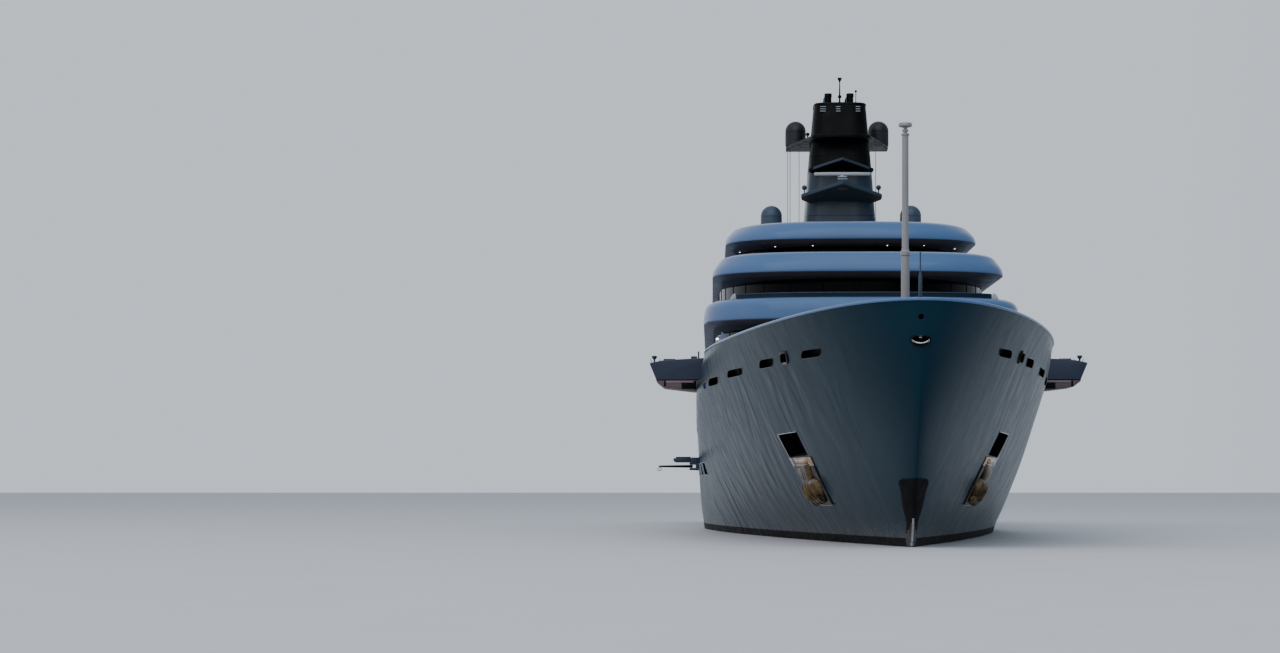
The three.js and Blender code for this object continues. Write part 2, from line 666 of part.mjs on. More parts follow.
function radarPlatform() {
  const plate = towerPlate([[0, 18.2], [3.15, 20.8], [3.15, 21.3], [2.2, 22.6]], 22, 25.38, 0.28, 0.31);
  const lights = SIDES.map(({ s }) =>
    union(
      bar([s * 2.9, 21, 25.8], [s * 2.9, 21, 26.5], 0.06, 0.06, 8),
      solid(new THREE.SphereGeometry(0.2, 8, 6).translate(s * 2.9, 21, 26.55)),
    ),
  );
  const pedestal = box(-0.37, 0.37, RADAR.y - 0.37, RADAR.y + 0.37, 26.2, RADAR.seat);
  return union(plate, pedestal, ...lights);
}
add("radar_platform", radarPlatform(), PAINT.white);
add(
  "beak_platform",
  towerPlate([[0, 19.2], [2.5, 21.5], [2.5, 21.8], [1.7, 23.4]], 22, 27.78, 0.2, 0.27),
  PAINT.white,
);
add(
  "dome_platform",
  towerPlate([[0, 20.6], [2.26, 21.4], [3.8, 28.1], [4.12, 29.5], [4.12, 31]], 20, 30.45, 0.28, 0),
  PAINT.black,
);

function radarScanner() {
  const { y, seat, reach, low, high } = RADAR;
  const blade = prism(
    [[-reach, y - 0.08], [0, y - 0.18], [reach, y - 0.08], [reach, y + 0.08], [0, y + 0.18], [-reach, y + 0.08]],
    "Z",
    low,
    high,
  );
  return union(blade, turned([[0, seat + GAP], [0.2, seat + GAP], [0.2, low + 0.05], [0, low + 0.05]], 0, y));
}
add("radar_scanner", radarScanner(), PAINT.white);

// Satellite domes: two on the mast's platform and two on the top deck, each a drum with a round top.
const DOMES = [
  { name: "mast_dome", x: 3.35, y: 29.8, foot: 30.73 + GAP, centre: 31.9, radius: 0.8 },
  { name: "roof_dome", x: 5.46, y: 22, foot: TIERS.top.floor + GAP, centre: 24.4, radius: 0.8 },
];
const DOME_STEPS = 6;
for (const { name, x, y, foot, centre, radius } of DOMES)
  for (const { side, s } of SIDES) {
    const cap = Array.from({ length: DOME_STEPS }, (_, k) => {
      const angle = ((Math.PI / 2) * k) / DOME_STEPS;
      return [radius * Math.cos(angle), centre + radius * Math.sin(angle)];
    });
    const profile = [[0, foot], [radius - 0.06, foot], [radius, foot + 0.1], ...cap, [0, centre + radius]];
    add(`${name}_${side}`, turned(profile, s * x, y), PAINT.dome);
  }

// The wing stations: a faceted box on each side of the hull, seen from ahead as [x, z].
const WING = { front: -20, aft: -16 };
const WING_OUTLINE = [
  [10.5, 9.3],
  [11.32, 9.34],
  [13.26, 9.57],
  [13.73, 9.94],
  [13.76, 10.09],
  [14.19, 11.14],
  [13.39, 11.31],
  [12.26, 11.39],
  [10.5, 11.48],
];
for (const { side, s } of SIDES) {
  const outline = WING_OUTLINE.map(([x, z]) => [s * x, z]);
  const block = prism(outline, "Y", WING.front, WING.aft).subtract(pushed(s, GAP, GAP));
  add(`wing_station_${side}`, block, PAINT.hull);
}

// The boarding boom and the small platform above it, on the starboard side.

const BOOM = { y: 1.6, z: 4.6, pivot: -11.6, end: -13.95, half: 0.1, plate: -11.3 };

function boomBracket() {
  const lugs = [1, -1].map((k) =>
    box(-11, BOOM.pivot - 0.15, BOOM.y - 0.16, BOOM.y + 0.16, BOOM.z + k * (BOOM.half + GAP), BOOM.z + k * 0.3),
  );
  const plate = box(-11, BOOM.plate, BOOM.y - 0.3, BOOM.y + 0.3, BOOM.z - 0.5, BOOM.z + 0.5);
  return union(...lugs, plate).subtract(pushed(-1, GAP));
}

function boom() {
  const { y, z, pivot, end, half } = BOOM;
  const ring = solid(new THREE.TorusGeometry(0.16, 0.05, 6, 12).rotateX(Math.PI / 2).translate(end + 0.05, y, z - half - 0.15));
  return union(
    bar([pivot, y, z - half], [pivot, y, z + half], half),
    box(pivot, end, y - half, y + half, z - half, z + half),
    ring,
  );
}
add("boom_bracket", boomBracket(), PAINT.steel);
add("boarding_boom", boom(), PAINT.steel);

const SIDE_PLATFORM = {
  front: -2.4, aft: -0.4, z: 5, pivot: -11.45, end: -12.85, half: 0.15, lug: 0.25, plate: -11.2,
};

function platformBracket() {
  const { front, aft, z, pivot, lug, plate } = SIDE_PLATFORM;
  const lugs = [
    box(-11, pivot - 0.15, front - lug, front - GAP, z - 0.25, z + 0.2),
    box(-11, pivot - 0.15, aft + GAP, aft + lug, z - 0.25, z + 0.2),
  ];
  return union(...lugs, box(-11, plate, front - lug, aft + lug, z - 0.6, z - 0.15)).subtract(pushed(-1, GAP));
}
add("platform_bracket", platformBracket(), PAINT.steel);

function boardingPlatform() {
  const { front, aft, z, pivot, end, half } = SIDE_PLATFORM;
  return union(
    box(pivot, end, front, aft, z - half, z + half),
    bar([pivot, front, z], [pivot, aft, z], half),
  );
}
add("boarding_platform", boardingPlatform(), PAINT.teak);

// The stern: the swim platform, two flights of steps and the door of the beach club.

function swimPlatform() {
  const [narrow, wide, radius] = [8.15, 9.6, 2];
  const corner = Array.from({ length: 6 }, (_, k) => {
    const angle = ((Math.PI / 2) * k) / 5;
    return [wide - radius + radius * Math.cos(angle), STERN - radius + radius * Math.sin(angle)];
  });
  const port = [[narrow, TRANSOM + 0.02], [narrow, STEP_STERN.to + 0.02], [wide, STEP_STERN.to + 0.02], ...corner];
  const starboard = [...port].reverse().map(([x, y]) => [-x, y]);
  return prism([...port, ...starboard], "Z", PLATFORM_SEAT + GAP, PLATFORM_DECK);
}
add("swim_platform", swimPlatform(), PAINT.teak);

function stair(s) {
  const rise = (AFT_DECK - PLATFORM_DECK) / STAIR.risers;
  const [top, foot] = [STAIR.top + 0.05, TRANSOM - 0.05];
  const run = (foot - top) / STAIR.risers;
  const outline = [[top, PLATFORM_SEAT + GAP], [foot, PLATFORM_SEAT + GAP]];
  for (let k = 0; k < STAIR.risers; k++) {
    const z = PLATFORM_DECK + rise * (k + 1);
    outline.push([foot - run * k, z], [foot - run * (k + 1), z]);
  }
  const [inner, outer] = [STAIR.inner + 0.02, STAIR.outer - 0.02].map((x) => s * x);
  return prism(outline, "X", Math.min(inner, outer), Math.max(inner, outer));
}
for (const { side, s } of SIDES) add(`steps_${side}`, stair(s), PAINT.teak);

add(
  "transom_door",
  box(-DOOR.half, DOOR.half, TRANSOM - DOOR.thick, TRANSOM, DOOR.low, DOOR.high),
  PAINT.hull,
);

// Below the water: shafts on their brackets, propellers, rudders and stabiliser fins.

const SHAFT = { radius: 0.2, from: [40, -3.3], to: [55.6, -4.1], bracket: 53.8 };
const PROPELLER = { radius: 1.38, hub: 0.34, length: 1.1, blades: 5, thick: 0.1, pitch: 0.6 };
const STABILISER = { root: 12, chord: 2.6, tip: 1.6, span: 1.55, lean: 128 };
const shaftLine = new THREE.Vector2(SHAFT.to[0] - SHAFT.from[0], SHAFT.to[1] - SHAFT.from[1]).normalize();

for (const { side, s } of SIDES) {
  const x = s * RUDDER.x;
  const strut = prism(
    [[SHAFT.bracket - 0.5, -4.15], [SHAFT.bracket + 0.5, -4.15], [SHAFT.bracket + 0.5, -1.4], [SHAFT.bracket - 0.5, -1.4]],
    "X",
    x - 0.12,
    x + 0.12,
  );
  const tube = bar([x, ...SHAFT.from], [x, ...SHAFT.to], SHAFT.radius);
  add(`shaft_${side}`, union(strut, tube).subtract(hullSkin.translate(0, 0, -GAP)), PAINT.steel);

  // Built on the Y axis, then turned onto the shaft's line.
  const blade = new THREE.Shape([
    new THREE.Vector2(-0.22, PROPELLER.hub * 0.6),
    new THREE.Vector2(0.22, PROPELLER.hub * 0.6),
    new THREE.Vector2(0.5, 0.75),
    new THREE.Vector2(0.45, 1.15),
    new THREE.Vector2(0.1, PROPELLER.radius),
    new THREE.Vector2(-0.3, 1.2),
    new THREE.Vector2(-0.42, 0.8),
  ]);
  const blades = Array.from({ length: PROPELLER.blades }, (_, k) =>
    solid(
      new THREE.ExtrudeGeometry(blade, { depth: PROPELLER.thick, bevelEnabled: false })
        .translate(0, 0, -PROPELLER.thick / 2)
        .rotateY(s * PROPELLER.pitch)
        .rotateX(Math.PI / 2)
        .rotateY((2 * Math.PI * k) / PROPELLER.blades),
    ),
  );
  const hub = bar([0, -PROPELLER.length / 2, 0], [0, PROPELLER.length / 2, 0], PROPELLER.hub, 0.2);
  const tilt = (Math.atan2(shaftLine.y, shaftLine.x) * 180) / Math.PI;
  const away = PROPELLER.length / 2 + GAP;
  add(
    `propeller_${side}`,
    union(hub, ...blades)
      .rotate([tilt, 0, 0])
      .translate(x, SHAFT.to[0] + shaftLine.x * away, SHAFT.to[1] + shaftLine.y * away),
    PAINT.bronze,
  );

  // A rudder blade of rounded section on its stock, which turns in a bore in the hull.
  const { y, chord, low, head, stock, top } = RUDDER;
  const section = [[-0.3, 0], [-0.26, 0.55], [-0.1, 0.9], [0.35, 1], [1.2, 0.6], [chord - 0.9, 0.12]].map(
    ([run, width]) => [run, 0.2 * width],
  );
  const sides = [...section, ...section.slice(1).reverse().map(([run, width]) => [run, -width])];
  const rudder = prism(sides.map(([run, width]) => [x + width, y - 0.45 + run]), "Z", low, head);
  add(`rudder_${side}`, union(rudder, bar([x, y, low + 0.5], [x, y, top - GAP], stock, stock, 16)), PAINT.hull);

  const { root, chord: length, tip, span, lean } = STABILISER;
  const fin = prism([[0, 0], [length, 0], [length - 0.3, span], [length - 0.3 - tip, span]], "X", -0.12, 0.12)
    .rotate([0, s * lean, 0])
    .translate(s * (halfBeamAtShare(root, -0.85) - 0.3), root, 0.85 * keel(root) + 0.25);
  add(`stabiliser_${side}`, fin.subtract(pushed(s, GAP, -GAP)), PAINT.hull);
}

export default group;
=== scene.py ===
"""The looks of a large motor yacht, a scale model at 1:10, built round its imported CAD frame.

Lengths are the real yacht's, in metres, and settle() brings each piece to the model's size.
+Z is up, the bow looks along -Y, port is +X, and the origin is amidships at the waterline.
"""

import json
import logging
import math
from abc import ABC, abstractmethod
from contextlib import contextmanager
from dataclasses import dataclass
from enum import Enum
from functools import lru_cache
from typing import Callable, Iterator, Sequence

import bpy
from mathutils import Matrix, Vector


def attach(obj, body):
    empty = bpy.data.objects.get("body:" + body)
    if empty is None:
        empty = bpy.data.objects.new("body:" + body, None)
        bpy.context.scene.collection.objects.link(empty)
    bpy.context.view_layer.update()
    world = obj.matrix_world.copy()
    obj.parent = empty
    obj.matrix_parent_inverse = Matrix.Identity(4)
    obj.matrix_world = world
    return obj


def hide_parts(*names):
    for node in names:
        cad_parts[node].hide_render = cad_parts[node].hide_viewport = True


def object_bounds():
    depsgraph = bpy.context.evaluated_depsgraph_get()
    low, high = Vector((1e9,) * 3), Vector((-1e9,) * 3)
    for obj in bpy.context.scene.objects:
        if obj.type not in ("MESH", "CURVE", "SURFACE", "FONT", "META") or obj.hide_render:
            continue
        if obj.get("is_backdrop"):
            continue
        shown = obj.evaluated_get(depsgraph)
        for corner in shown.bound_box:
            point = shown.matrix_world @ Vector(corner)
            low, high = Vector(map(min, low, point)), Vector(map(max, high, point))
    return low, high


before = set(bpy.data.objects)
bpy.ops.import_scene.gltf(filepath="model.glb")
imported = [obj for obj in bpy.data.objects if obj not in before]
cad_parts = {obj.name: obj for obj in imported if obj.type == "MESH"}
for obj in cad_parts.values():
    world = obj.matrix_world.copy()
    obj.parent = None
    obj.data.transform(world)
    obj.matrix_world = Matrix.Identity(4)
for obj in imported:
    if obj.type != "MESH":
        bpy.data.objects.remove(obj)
CAD_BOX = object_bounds()

LOG = logging.getLogger("yacht")
MODEL = 0.1  # model metres for one metre of the real yacht
GAP = 0.003  # left between pieces that would share a face
MERGE = 1e-4  # points closer than this are one

Point = tuple[float, float, float]
Pair = tuple[float, float]
Shape = bpy.types.Object
Material = bpy.types.Material
Tree = bpy.types.NodeTree
Output = bpy.types.NodeSocket
Inputs = dict[str, object]


class Side(Enum):
    """A side of the yacht, with the sign that x has there."""

    PORT = 1
    STARBOARD = -1

    @property
    def label(self) -> str:
        """The side's name in the CAD nodes."""
        return self.name.lower()


class Body(Enum):
    """The CAD bodies that pieces ride on."""

    YACHT = "yacht"
    FOREMAST = "foremast"
    RADAR = "radar"
    BOOM = "boom"
    SIDE_PLATFORM = "side_platform"
    DOOR = "door"
    PROPELLER_PORT = "propeller_port"
    PROPELLER_STARBOARD = "propeller_starboard"
    RUDDER_PORT = "rudder_port"
    RUDDER_STARBOARD = "rudder_starboard"


class Slot(Enum):
    """The record's material slots."""

    HULL = "hull_paint"
    WHITE = "white_paint"
    GLASS = "dark_glass"
    BLACK = "black_paint"
    STEEL = "polished_steel"
    BRONZE = "bronze"
    TEAK = "teak"
    DOME = "dome_shell"


# Numbers and curves.


def mix(a: float, b: float, t: float) -> float:
    """The value that lies t of the way from a to b."""
    return a + (b - a) * t


def clamp(value: float, low: float, high: float) -> float:
    """The value, held between low and high."""
    return min(high, max(low, value))


def smoothstep(start: float, end: float, value: float) -> float:
    """A soft step from 0 to 1 between start and end."""
    t = clamp((value - start) / (end - start), 0, 1)
    return t * t * (3 - 2 * t)


def spread(low: float, high: float, count: int, power: float = 1) -> list[float]:
    """Count values from low to high, closer together near low where power is over 1."""
    return [mix(low, high, (k / (count - 1)) ** power) for k in range(count)]


def angles(count: int) -> list[float]:
    """Count even angles round a full turn."""
    return [2 * math.pi * k / count for k in range(count)]


def curve_through(points: Sequence[Sequence[float]], steps: int) -> list[tuple[float, ...]]:
    """A smooth curve through points.

    Args:
        points: places of any number of coordinates.
        steps: how many stretches each span gets.

    Returns:
        The curve's points, ends included.
    """

    def between(a: float, b: float, c: float, d: float, t: float) -> float:
        """One coordinate at t between b and c, with a before them and d after them."""
        bend = 2 * a - 5 * b + 4 * c - d
        return 0.5 * (2 * b + (c - a) * t + bend * t**2 + (3 * b - a - 3 * c + d) * t**3)

    last = len(points) - 1
    made: list[tuple[float, ...]] = []
    for i in range(last):
        near = points[max(i - 1, 0)], points[i], points[i + 1], points[min(i + 2, last)]
        made += [tuple(between(*four, k / steps) for four in zip(*near)) for k in range(steps)]
    made.append(tuple(points[last]))
    return made


# Modelling, in the real yacht's metres.


def focus(*objects: Shape) -> None:
    """Selects only these objects.

    Args:
        objects: what is selected, with the active one first.
    """
    bpy.ops.object.select_all(action="DESELECT")
    for obj in objects:
        obj.select_set(True)
    bpy.context.view_layer.objects.active = objects[0]


@contextmanager
def editing(obj: Shape) -> Iterator[bpy.types.Mesh]:
    """Edit mode on one object, with all of its mesh selected.

    Args:
        obj: the object.

    Returns:
        A context that gives the object's mesh.
    """
    focus(obj)
    bpy.ops.object.mode_set(mode="EDIT")
    bpy.ops.mesh.select_all(action="SELECT")
    try:
        yield obj.data
    finally:
        bpy.ops.object.mode_set(mode="OBJECT")


def surface(rows: Sequence[Sequence[Point]], looped: bool = False) -> Shape:
    """Bends a grid primitive onto rings of points, merges what meets and closes its ends.

    Args:
        rows: rings of equally many points.
        looped: joins the last ring to the first.

    Returns:
        The object, with its faces pointing out.
    """
    around, lines = len(rows[0]), len(rows) + looped
    bpy.ops.mesh.primitive_grid_add(x_subdivisions=around, y_subdivisions=lines - 1, size=1, calc_uvs=False)
    obj = bpy.context.object
    places = [c for j in range(lines) for i in range(around + 1) for c in rows[j % len(rows)][i % around]]
    obj.data.vertices.foreach_set("co", places)
    with editing(obj):
        bpy.ops.mesh.remove_doubles(threshold=MERGE)
        bpy.ops.mesh.fill_holes(sides=0)
        bpy.ops.mesh.select_all(action="SELECT")
        bpy.ops.mesh.normals_make_consistent(inside=False)
    return obj


def prism(outline: Sequence[Pair], axis: str, low: float, high: float) -> Shape:
    """An outline pushed along one axis.

    Args:
        outline: pairs of y,z for the axis X, x,z for Y and x,y for Z.
        axis: the axis's letter.
        low: where the shape starts on it.
        high: where it ends.

    Returns:
        The solid.
    """
    place = {
        "X": lambda u, v, w: (w, u, v),
        "Y": lambda u, v, w: (u, w, v),
        "Z": lambda u, v, w: (u, v, w),
    }[axis]
    return surface([[place(u, v, w) for u, v in outline] for w in (low, high)])


def block(low: Point, high: Point) -> Shape:
    """A box.

    Args:
        low: its low corner.
        high: its high corner.

    Returns:
        The solid.
    """
    size = [abs(b - a) for a, b in zip(low, high)]
    centre = [(a + b) / 2 for a, b in zip(low, high)]
    bpy.ops.mesh.primitive_cube_add(size=1, location=centre, scale=size, calc_uvs=False)
    return baked(bpy.context.object)


def side_block(side: Side, reach: Pair, low: Pair, high: Pair) -> Shape:
    """A box on one side, between two distances off the centreline and two pairs of y and z."""
    left, right = sorted((side.value * reach[0], side.value * reach[1]))
    return block((left, *low), (right, *high))


def ball(centre: Point, radii: Point, segments: int = 24) -> Shape:
    """A ball or egg shape.

    Args:
        centre: its middle.
        radii: its three half sizes.
        segments: how many faces go round it.

    Returns:
        The solid.
    """
    bpy.ops.mesh.primitive_uv_sphere_add(
        segments=segments, ring_count=segments // 2, radius=1, location=centre, scale=radii, calc_uvs=False
    )
    return baked(bpy.context.object)


def baked(obj: Shape) -> Shape:
    """Moves an object's place, turn and scale into its mesh.

    Args:
        obj: the object.

    Returns:
        The same object.
    """
    focus(obj)
    bpy.ops.object.transform_apply(location=True, rotation=True, scale=True)
    return obj


def tube(
    path: Sequence[Sequence[float]], radius: float | Sequence[float], sides: int = 10, looped: bool = False
) -> Shape:
    """A round pipe along a path.

    Args:
        path: the points of its centre line.
        radius: one radius, or one for each point.
        sides: how many faces go round it.
        looped: joins the last point to the first.

    Returns:
        The pipe.
    """
    points = [Vector(p) for p in path]
    radii = [radius] * len(points) if isinstance(radius, (int, float)) else list(radius)
    count = len(points)
    rows, across = [], None
    for k, point in enumerate(points):
        before = points[(k - 1) % count] if looped or k else point
        after = points[(k + 1) % count] if looped or k < count - 1 else point
        along = (after - before).normalized()
        if across is None:
            across = along.orthogonal().normalized()
        across = (across - along * across.dot(along)).normalized()
        up = along.cross(across)
        rows.append(
            [tuple(point + radii[k] * (math.cos(a) * across + math.sin(a) * up)) for a in angles(sides)]
        )
    return surface(rows, looped=looped)


def post(place: Pair, low: float, high: float, radius: float, sides: int = 10) -> Shape:
    """An upright round bar between two heights."""
    return tube([(*place, low), (*place, high)], radius, sides)


def turned(profile: Sequence[Pair], x: float, y: float, sides: int = 40) -> Shape:
    """A turned shape on an upright axis, from pairs of radius and height."""
    turn = angles(sides)
    return surface([[(x + r * math.cos(a), y + r * math.sin(a), z) for a in turn] for r, z in profile])


def modified(obj: Shape, kind: str, **settings: object) -> Shape:
    """Adds a modifier and applies it.

    Args:
        obj: the object.
        kind: the modifier's type.
        settings: its settings.

    Returns:
        The same object.
    """
    modifier = obj.modifiers.new(kind.lower(), kind)
    for name, value in settings.items():
        setattr(modifier, name, value)
    focus(obj)
    bpy.ops.object.modifier_apply(modifier=modifier.name)
    return obj


def bevelled(obj: Shape, width: float, segments: int = 2, angle: float = 40) -> Shape:
    """Rounds the edges that are sharper than an angle in degrees."""
    return modified(
        obj, "BEVEL", width=width, segments=segments, limit_method="ANGLE", angle_limit=math.radians(angle)
    )


def combined(obj: Shape, operation: str, tools: Sequence[Shape]) -> Shape:
    """Combines an object with others and removes those.

    Args:
        obj: the object.
        operation: how, as the modifier names it.
        tools: the others.

    Returns:
        The same object.
    """
    for tool in tools:
        modified(obj, "BOOLEAN", object=tool, operation=operation, solver="MANIFOLD")
        bpy.data.objects.remove(tool)
    return obj


def cut(obj: Shape, *tools: Shape) -> Shape:
    """Cuts the tools out of an object and removes them."""
    return combined(obj, "DIFFERENCE", tools)


def united(obj: Shape, *others: Shape) -> Shape:
    """Makes one solid of an object and others."""
    return combined(obj, "UNION", others)


def joined(*objects: Shape) -> Shape:
    """Joins objects into the first one, as loose parts of one mesh.

    Args:
        objects: what is joined.

    Returns:
        The first object.
    """
    focus(*objects)
    if len(objects) > 1:
        bpy.ops.object.join()
    return objects[0]


def mirrored(obj: Shape) -> Shape:
    """Puts a shape on the other side of the centreline.

    Args:
        obj: the shape.

    Returns:
        The same object.
    """
    obj.data.transform(Matrix.Diagonal((-1, 1, 1, 1)))
    obj.data.flip_normals()
    return obj


# Finishes.


def linear(code: str) -> tuple[float, float, float, float]:
    """Reads an sRGB hex colour.

    Args:
        code: the colour, as "#RRGGBB".

    Returns:
        Its linear values, with full alpha.
    """
    parts = [int(code[k : k + 2], 16) / 255 for k in (1, 3, 5)]
    red, green, blue = (c / 12.92 if c <= 0.04045 else ((c + 0.055) / 1.055) ** 2.4 for c in parts)
    return red, green, blue, 1.0


def add_node(tree: Tree, kind: str, values: dict | None = None, **settings: object) -> bpy.types.Node:
    """Adds one shader node.

    Args:
        tree: the material's node tree.
        kind: the node's type, without "ShaderNode".
        values: for each input, an output to link to it or a constant.
        settings: the node's own properties.

    Returns:
        The node.
    """
    made = tree.nodes.new("ShaderNode" + kind)
    for name, value in settings.items():
        setattr(made, name, value)
    for socket, value in (values or {}).items():
        if isinstance(value, Output):
            tree.links.new(value, made.inputs[socket])
        else:
            made.inputs[socket].default_value = value
    return made


class Coating(ABC):
    """What every finish shares: a material with a surface shader of the finish's own inputs."""

    name: str

    @abstractmethod
    def inputs(self, tree: Tree, where: Output) -> Inputs:
        """The surface shader's inputs, whose patterns read the coordinates at where."""

    def material(self) -> Material:
        """Builds the finish.

        Returns:
            The material.
        """
        material = bpy.data.materials.new(self.name)
        material.use_nodes = True
        tree = material.node_tree
        tree.nodes.clear()
        where = add_node(tree, "TexCoord").outputs["Object"]
        shader = add_node(tree, "BsdfPrincipled", self.inputs(tree, where))
        add_node(tree, "OutputMaterial", {"Surface": shader.outputs[0]})
        return material


def per_metre(millimetres: float) -> float:
    """A texture scale whose pattern repeats every so many millimetres of the real yacht."""
    return 1000 / (millimetres * MODEL)


def noise(tree: Tree, where: Output, size: float, detail: float = 1, **more: float) -> Output:
    """Plain noise with waves of about size millimetres of the real yacht."""
    values = {"Vector": where, "Scale": per_metre(size), "Detail": detail, **more}
    return add_node(tree, "TexNoise", values).outputs[0]


def ramp(tree: Tree, value: Output, start: float, end: float, low: float = 0, high: float = 1) -> Output:
    """A value mapped from start and end to low and high, and held between them."""
    values = {"Value": value, "From Min": start, "From Max": end, "To Min": low, "To Max": high}
    return add_node(tree, "MapRange", values).outputs[0]


def maths(tree: Tree, operation: str, first: object, second: object = 0.0) -> Output:
    """One sum on two values, each a number or an output."""
    return add_node(tree, "Math", {0: first, 1: second}, operation=operation).outputs[0]


def coordinate(tree: Tree, where: Output, index: int) -> Output:
    """One coordinate, counted from 0 for x."""
    return add_node(tree, "SeparateXYZ", {"Vector": where}).outputs[index]


def speckle(tree: Tree, where: Output, size: float, low: float = 0, high: float = 1) -> Output:
    """Noise with spots of about size millimetres of the real yacht, as values between low and high."""
    return ramp(tree, noise(tree, where, size, 3), 0.3, 0.7, low, high)


def blended(tree: Tree, factor: Output, first: object, second: object) -> Output:
    """A colour mixed from two.

    Args:
        tree: the material's node tree.
        factor: 0 for the first colour, 1 for the second.
        first: a hex code or an output.
        second: the same.

    Returns:
        The mixed colour's output.
    """
    made = add_node(tree, "Mix", {"Factor": factor}, data_type="RGBA")
    for index, colour in ((6, first), (7, second)):
        if isinstance(colour, str):
            made.inputs[index].default_value = linear(colour)
        else:
            tree.links.new(colour, made.inputs[index])
    return made.outputs[2]


def stretched(tree: Tree, where: Output, scale: Point) -> Output:
    """Coordinates scaled differently along each axis."""
    return add_node(tree, "Mapping", {"Vector": where, "Scale": scale}).outputs[0]


def bumped(tree: Tree, height: Output, millimetres: float) -> Output:
    """A bump normal whose height is so many millimetres of the model."""
    values = {"Height": height, "Strength": 1.0, "Distance": millimetres / 1000}
    return add_node(tree, "Bump", values).outputs[0]


@dataclass(frozen=True)
class Enamel(Coating):
    """Sprayed two-part yacht enamel over faired filler, with long fairing waves in its gloss."""

    name: str
    colour: str
    shade: str
    roughness: float = 0.16
    coat: float = 0.6
    wave_mm: float = 1400
    wave_height: float = 0.5
    specular: float = 0.5

    def inputs(self, tree: Tree, where: Output) -> Inputs:
        """The shader's inputs."""
        return {
            "Base Color": blended(tree, speckle(tree, where, 5200), self.colour, self.shade),
            "Roughness": speckle(tree, where, 900, self.roughness * 0.85, self.roughness * 1.25),
            "IOR": 1.5,
            "Specular IOR Level": self.specular,
            "Coat Weight": self.coat,
            "Coat Roughness": 0.04,
            "Normal": bumped(tree, noise(tree, where, self.wave_mm), self.wave_height),
        }


@dataclass(frozen=True)
class HullEnamel(Coating):
    """Gloss topside enamel, its teal painted dusk shade, with a black boot-top at the waterline and matt
    bottom paint below it.

    The topsides show slow upright ripples in what they reflect, from the plating under the filler.
    """

    name: str = "hull_topside_enamel"
    # The dark teal and its mottle are painted dusk shade: the topsides as they look in the evening's shade.
    colour: str = "#142F3C"
    shade: str = "#112935"
    boot: str = "#020303"
    bottom: str = "#23282E"
    salt: str = "#8C9699"
    slime: str = "#2E3530"
    boot_top_mm: float = 450
    salt_top_mm: float = 900
    ripple_mm: float = 2800
    ripple_height: float = 17

    def inputs(self, tree: Tree, where: Output) -> Inputs:
        """The shader's inputs, whose bands follow the height over the waterline.

        Args:
            tree: the material's node tree.
            where: the coordinates that the patterns read.

        Returns:
            The inputs.
        """
        height = coordinate(tree, where, 2)

        def above(millimetres: float, blur: float) -> Output:
            """A mask of what is higher than a height of the real yacht, blurred by a length of the model."""
            level = millimetres / 1000 * MODEL
            return ramp(tree, height, level - blur, level + blur)

        streaks = speckle(tree, stretched(tree, where, (1, 1, 0.12)), 260, 0, 0.22)
        low = maths(tree, "SUBTRACT", 1.0, above(self.salt_top_mm, 0.045))
        paint = blended(tree, speckle(tree, where, 6500), self.colour, self.shade)
        salted = blended(tree, maths(tree, "MULTIPLY", streaks, low), paint, self.salt)
        bottom = blended(tree, speckle(tree, where, 420), self.bottom, self.slime)
        dark = blended(tree, above(0, 0.0008), bottom, self.boot)
        on_topside = above(self.boot_top_mm, 0.0006)
        gloss, matt = speckle(tree, where, 900, 0.2, 0.26), speckle(tree, where, 300, 0.42, 0.6)
        ripple = noise(tree, stretched(tree, where, (1, 1, 0.4)), self.ripple_mm, Distortion=1.2)
        flank = ramp(tree, maths(tree, "ABSOLUTE", coordinate(tree, where, 0)), 0.25, 0.8, 0.15)
        lower = ramp(tree, height, 0.2, 1.1, 1.2, 0.45)
        waves = maths(tree, "MULTIPLY", ripple, maths(tree, "MULTIPLY", flank, lower))
        return {
            "Base Color": blended(tree, on_topside, dark, salted),
            "Roughness": add_node(tree, "Mix", {"Factor": on_topside, 2: matt, 3: gloss}).outputs[0],
            "IOR": 1.5,
            "Specular IOR Level": 0.05,
            "Normal": bumped(tree, waves, self.ripple_height),
        }


@dataclass(frozen=True)
class BottomPaint(Coating):
    """Rolled antifouling: matt, with soft patches of slime."""

    name: str = "antifouling_paint"
    colour: str = "#23282E"
    slime: str = "#333A34"

    def inputs(self, tree: Tree, where: Output) -> Inputs:
        """The shader's inputs."""
        return {
            "Base Color": blended(tree, speckle(tree, where, 700), self.colour, self.slime),
            "Roughness": speckle(tree, where, 260, 0.5, 0.7),
            "Normal": bumped(tree, speckle(tree, where, 90), 0.15),
        }


@dataclass(frozen=True)
class TintedGlass(Coating):
    """Heat-formed black glass: near black, mirror smooth, with the faint sag of each bent pane."""

    name: str = "tinted_glass"
    colour: str = "#020304"
    glow: str = "#05070A"
    roughness: float = 0.05
    sag_mm: float = 2600

    def inputs(self, tree: Tree, where: Output) -> Inputs:
        """The shader's inputs."""
        return {
            "Base Color": blended(tree, speckle(tree, where, 3000), self.colour, self.glow),
            "Roughness": speckle(tree, where, 1500, self.roughness * 0.8, self.roughness * 1.6),
            "IOR": 1.52,
            "Specular IOR Level": 0.06,
            "Normal": bumped(tree, noise(tree, where, self.sag_mm), 0.4),
        }


@dataclass(frozen=True)
class Metal(Coating):
    """A bare metal: its polish is drawn out by fine marks, with a soft bloom of salt or tarnish."""

    name: str
    colour: str
    bloom: str
    roughness: float
    mark_mm: float = 60

    def inputs(self, tree: Tree, where: Output) -> Inputs:
        """The shader's inputs, with marks drawn coarser than real ones so that they show."""
        marks = speckle(tree, stretched(tree, where, (1, 1, 0.2)), self.mark_mm)
        return {
            "Base Color": blended(tree, speckle(tree, where, 800), self.colour, self.bloom),
            "Metallic": 1.0,
            "Roughness": speckle(tree, where, 500, self.roughness * 0.7, self.roughness * 1.5),
            "Normal": bumped(tree, marks, 0.02),
        }


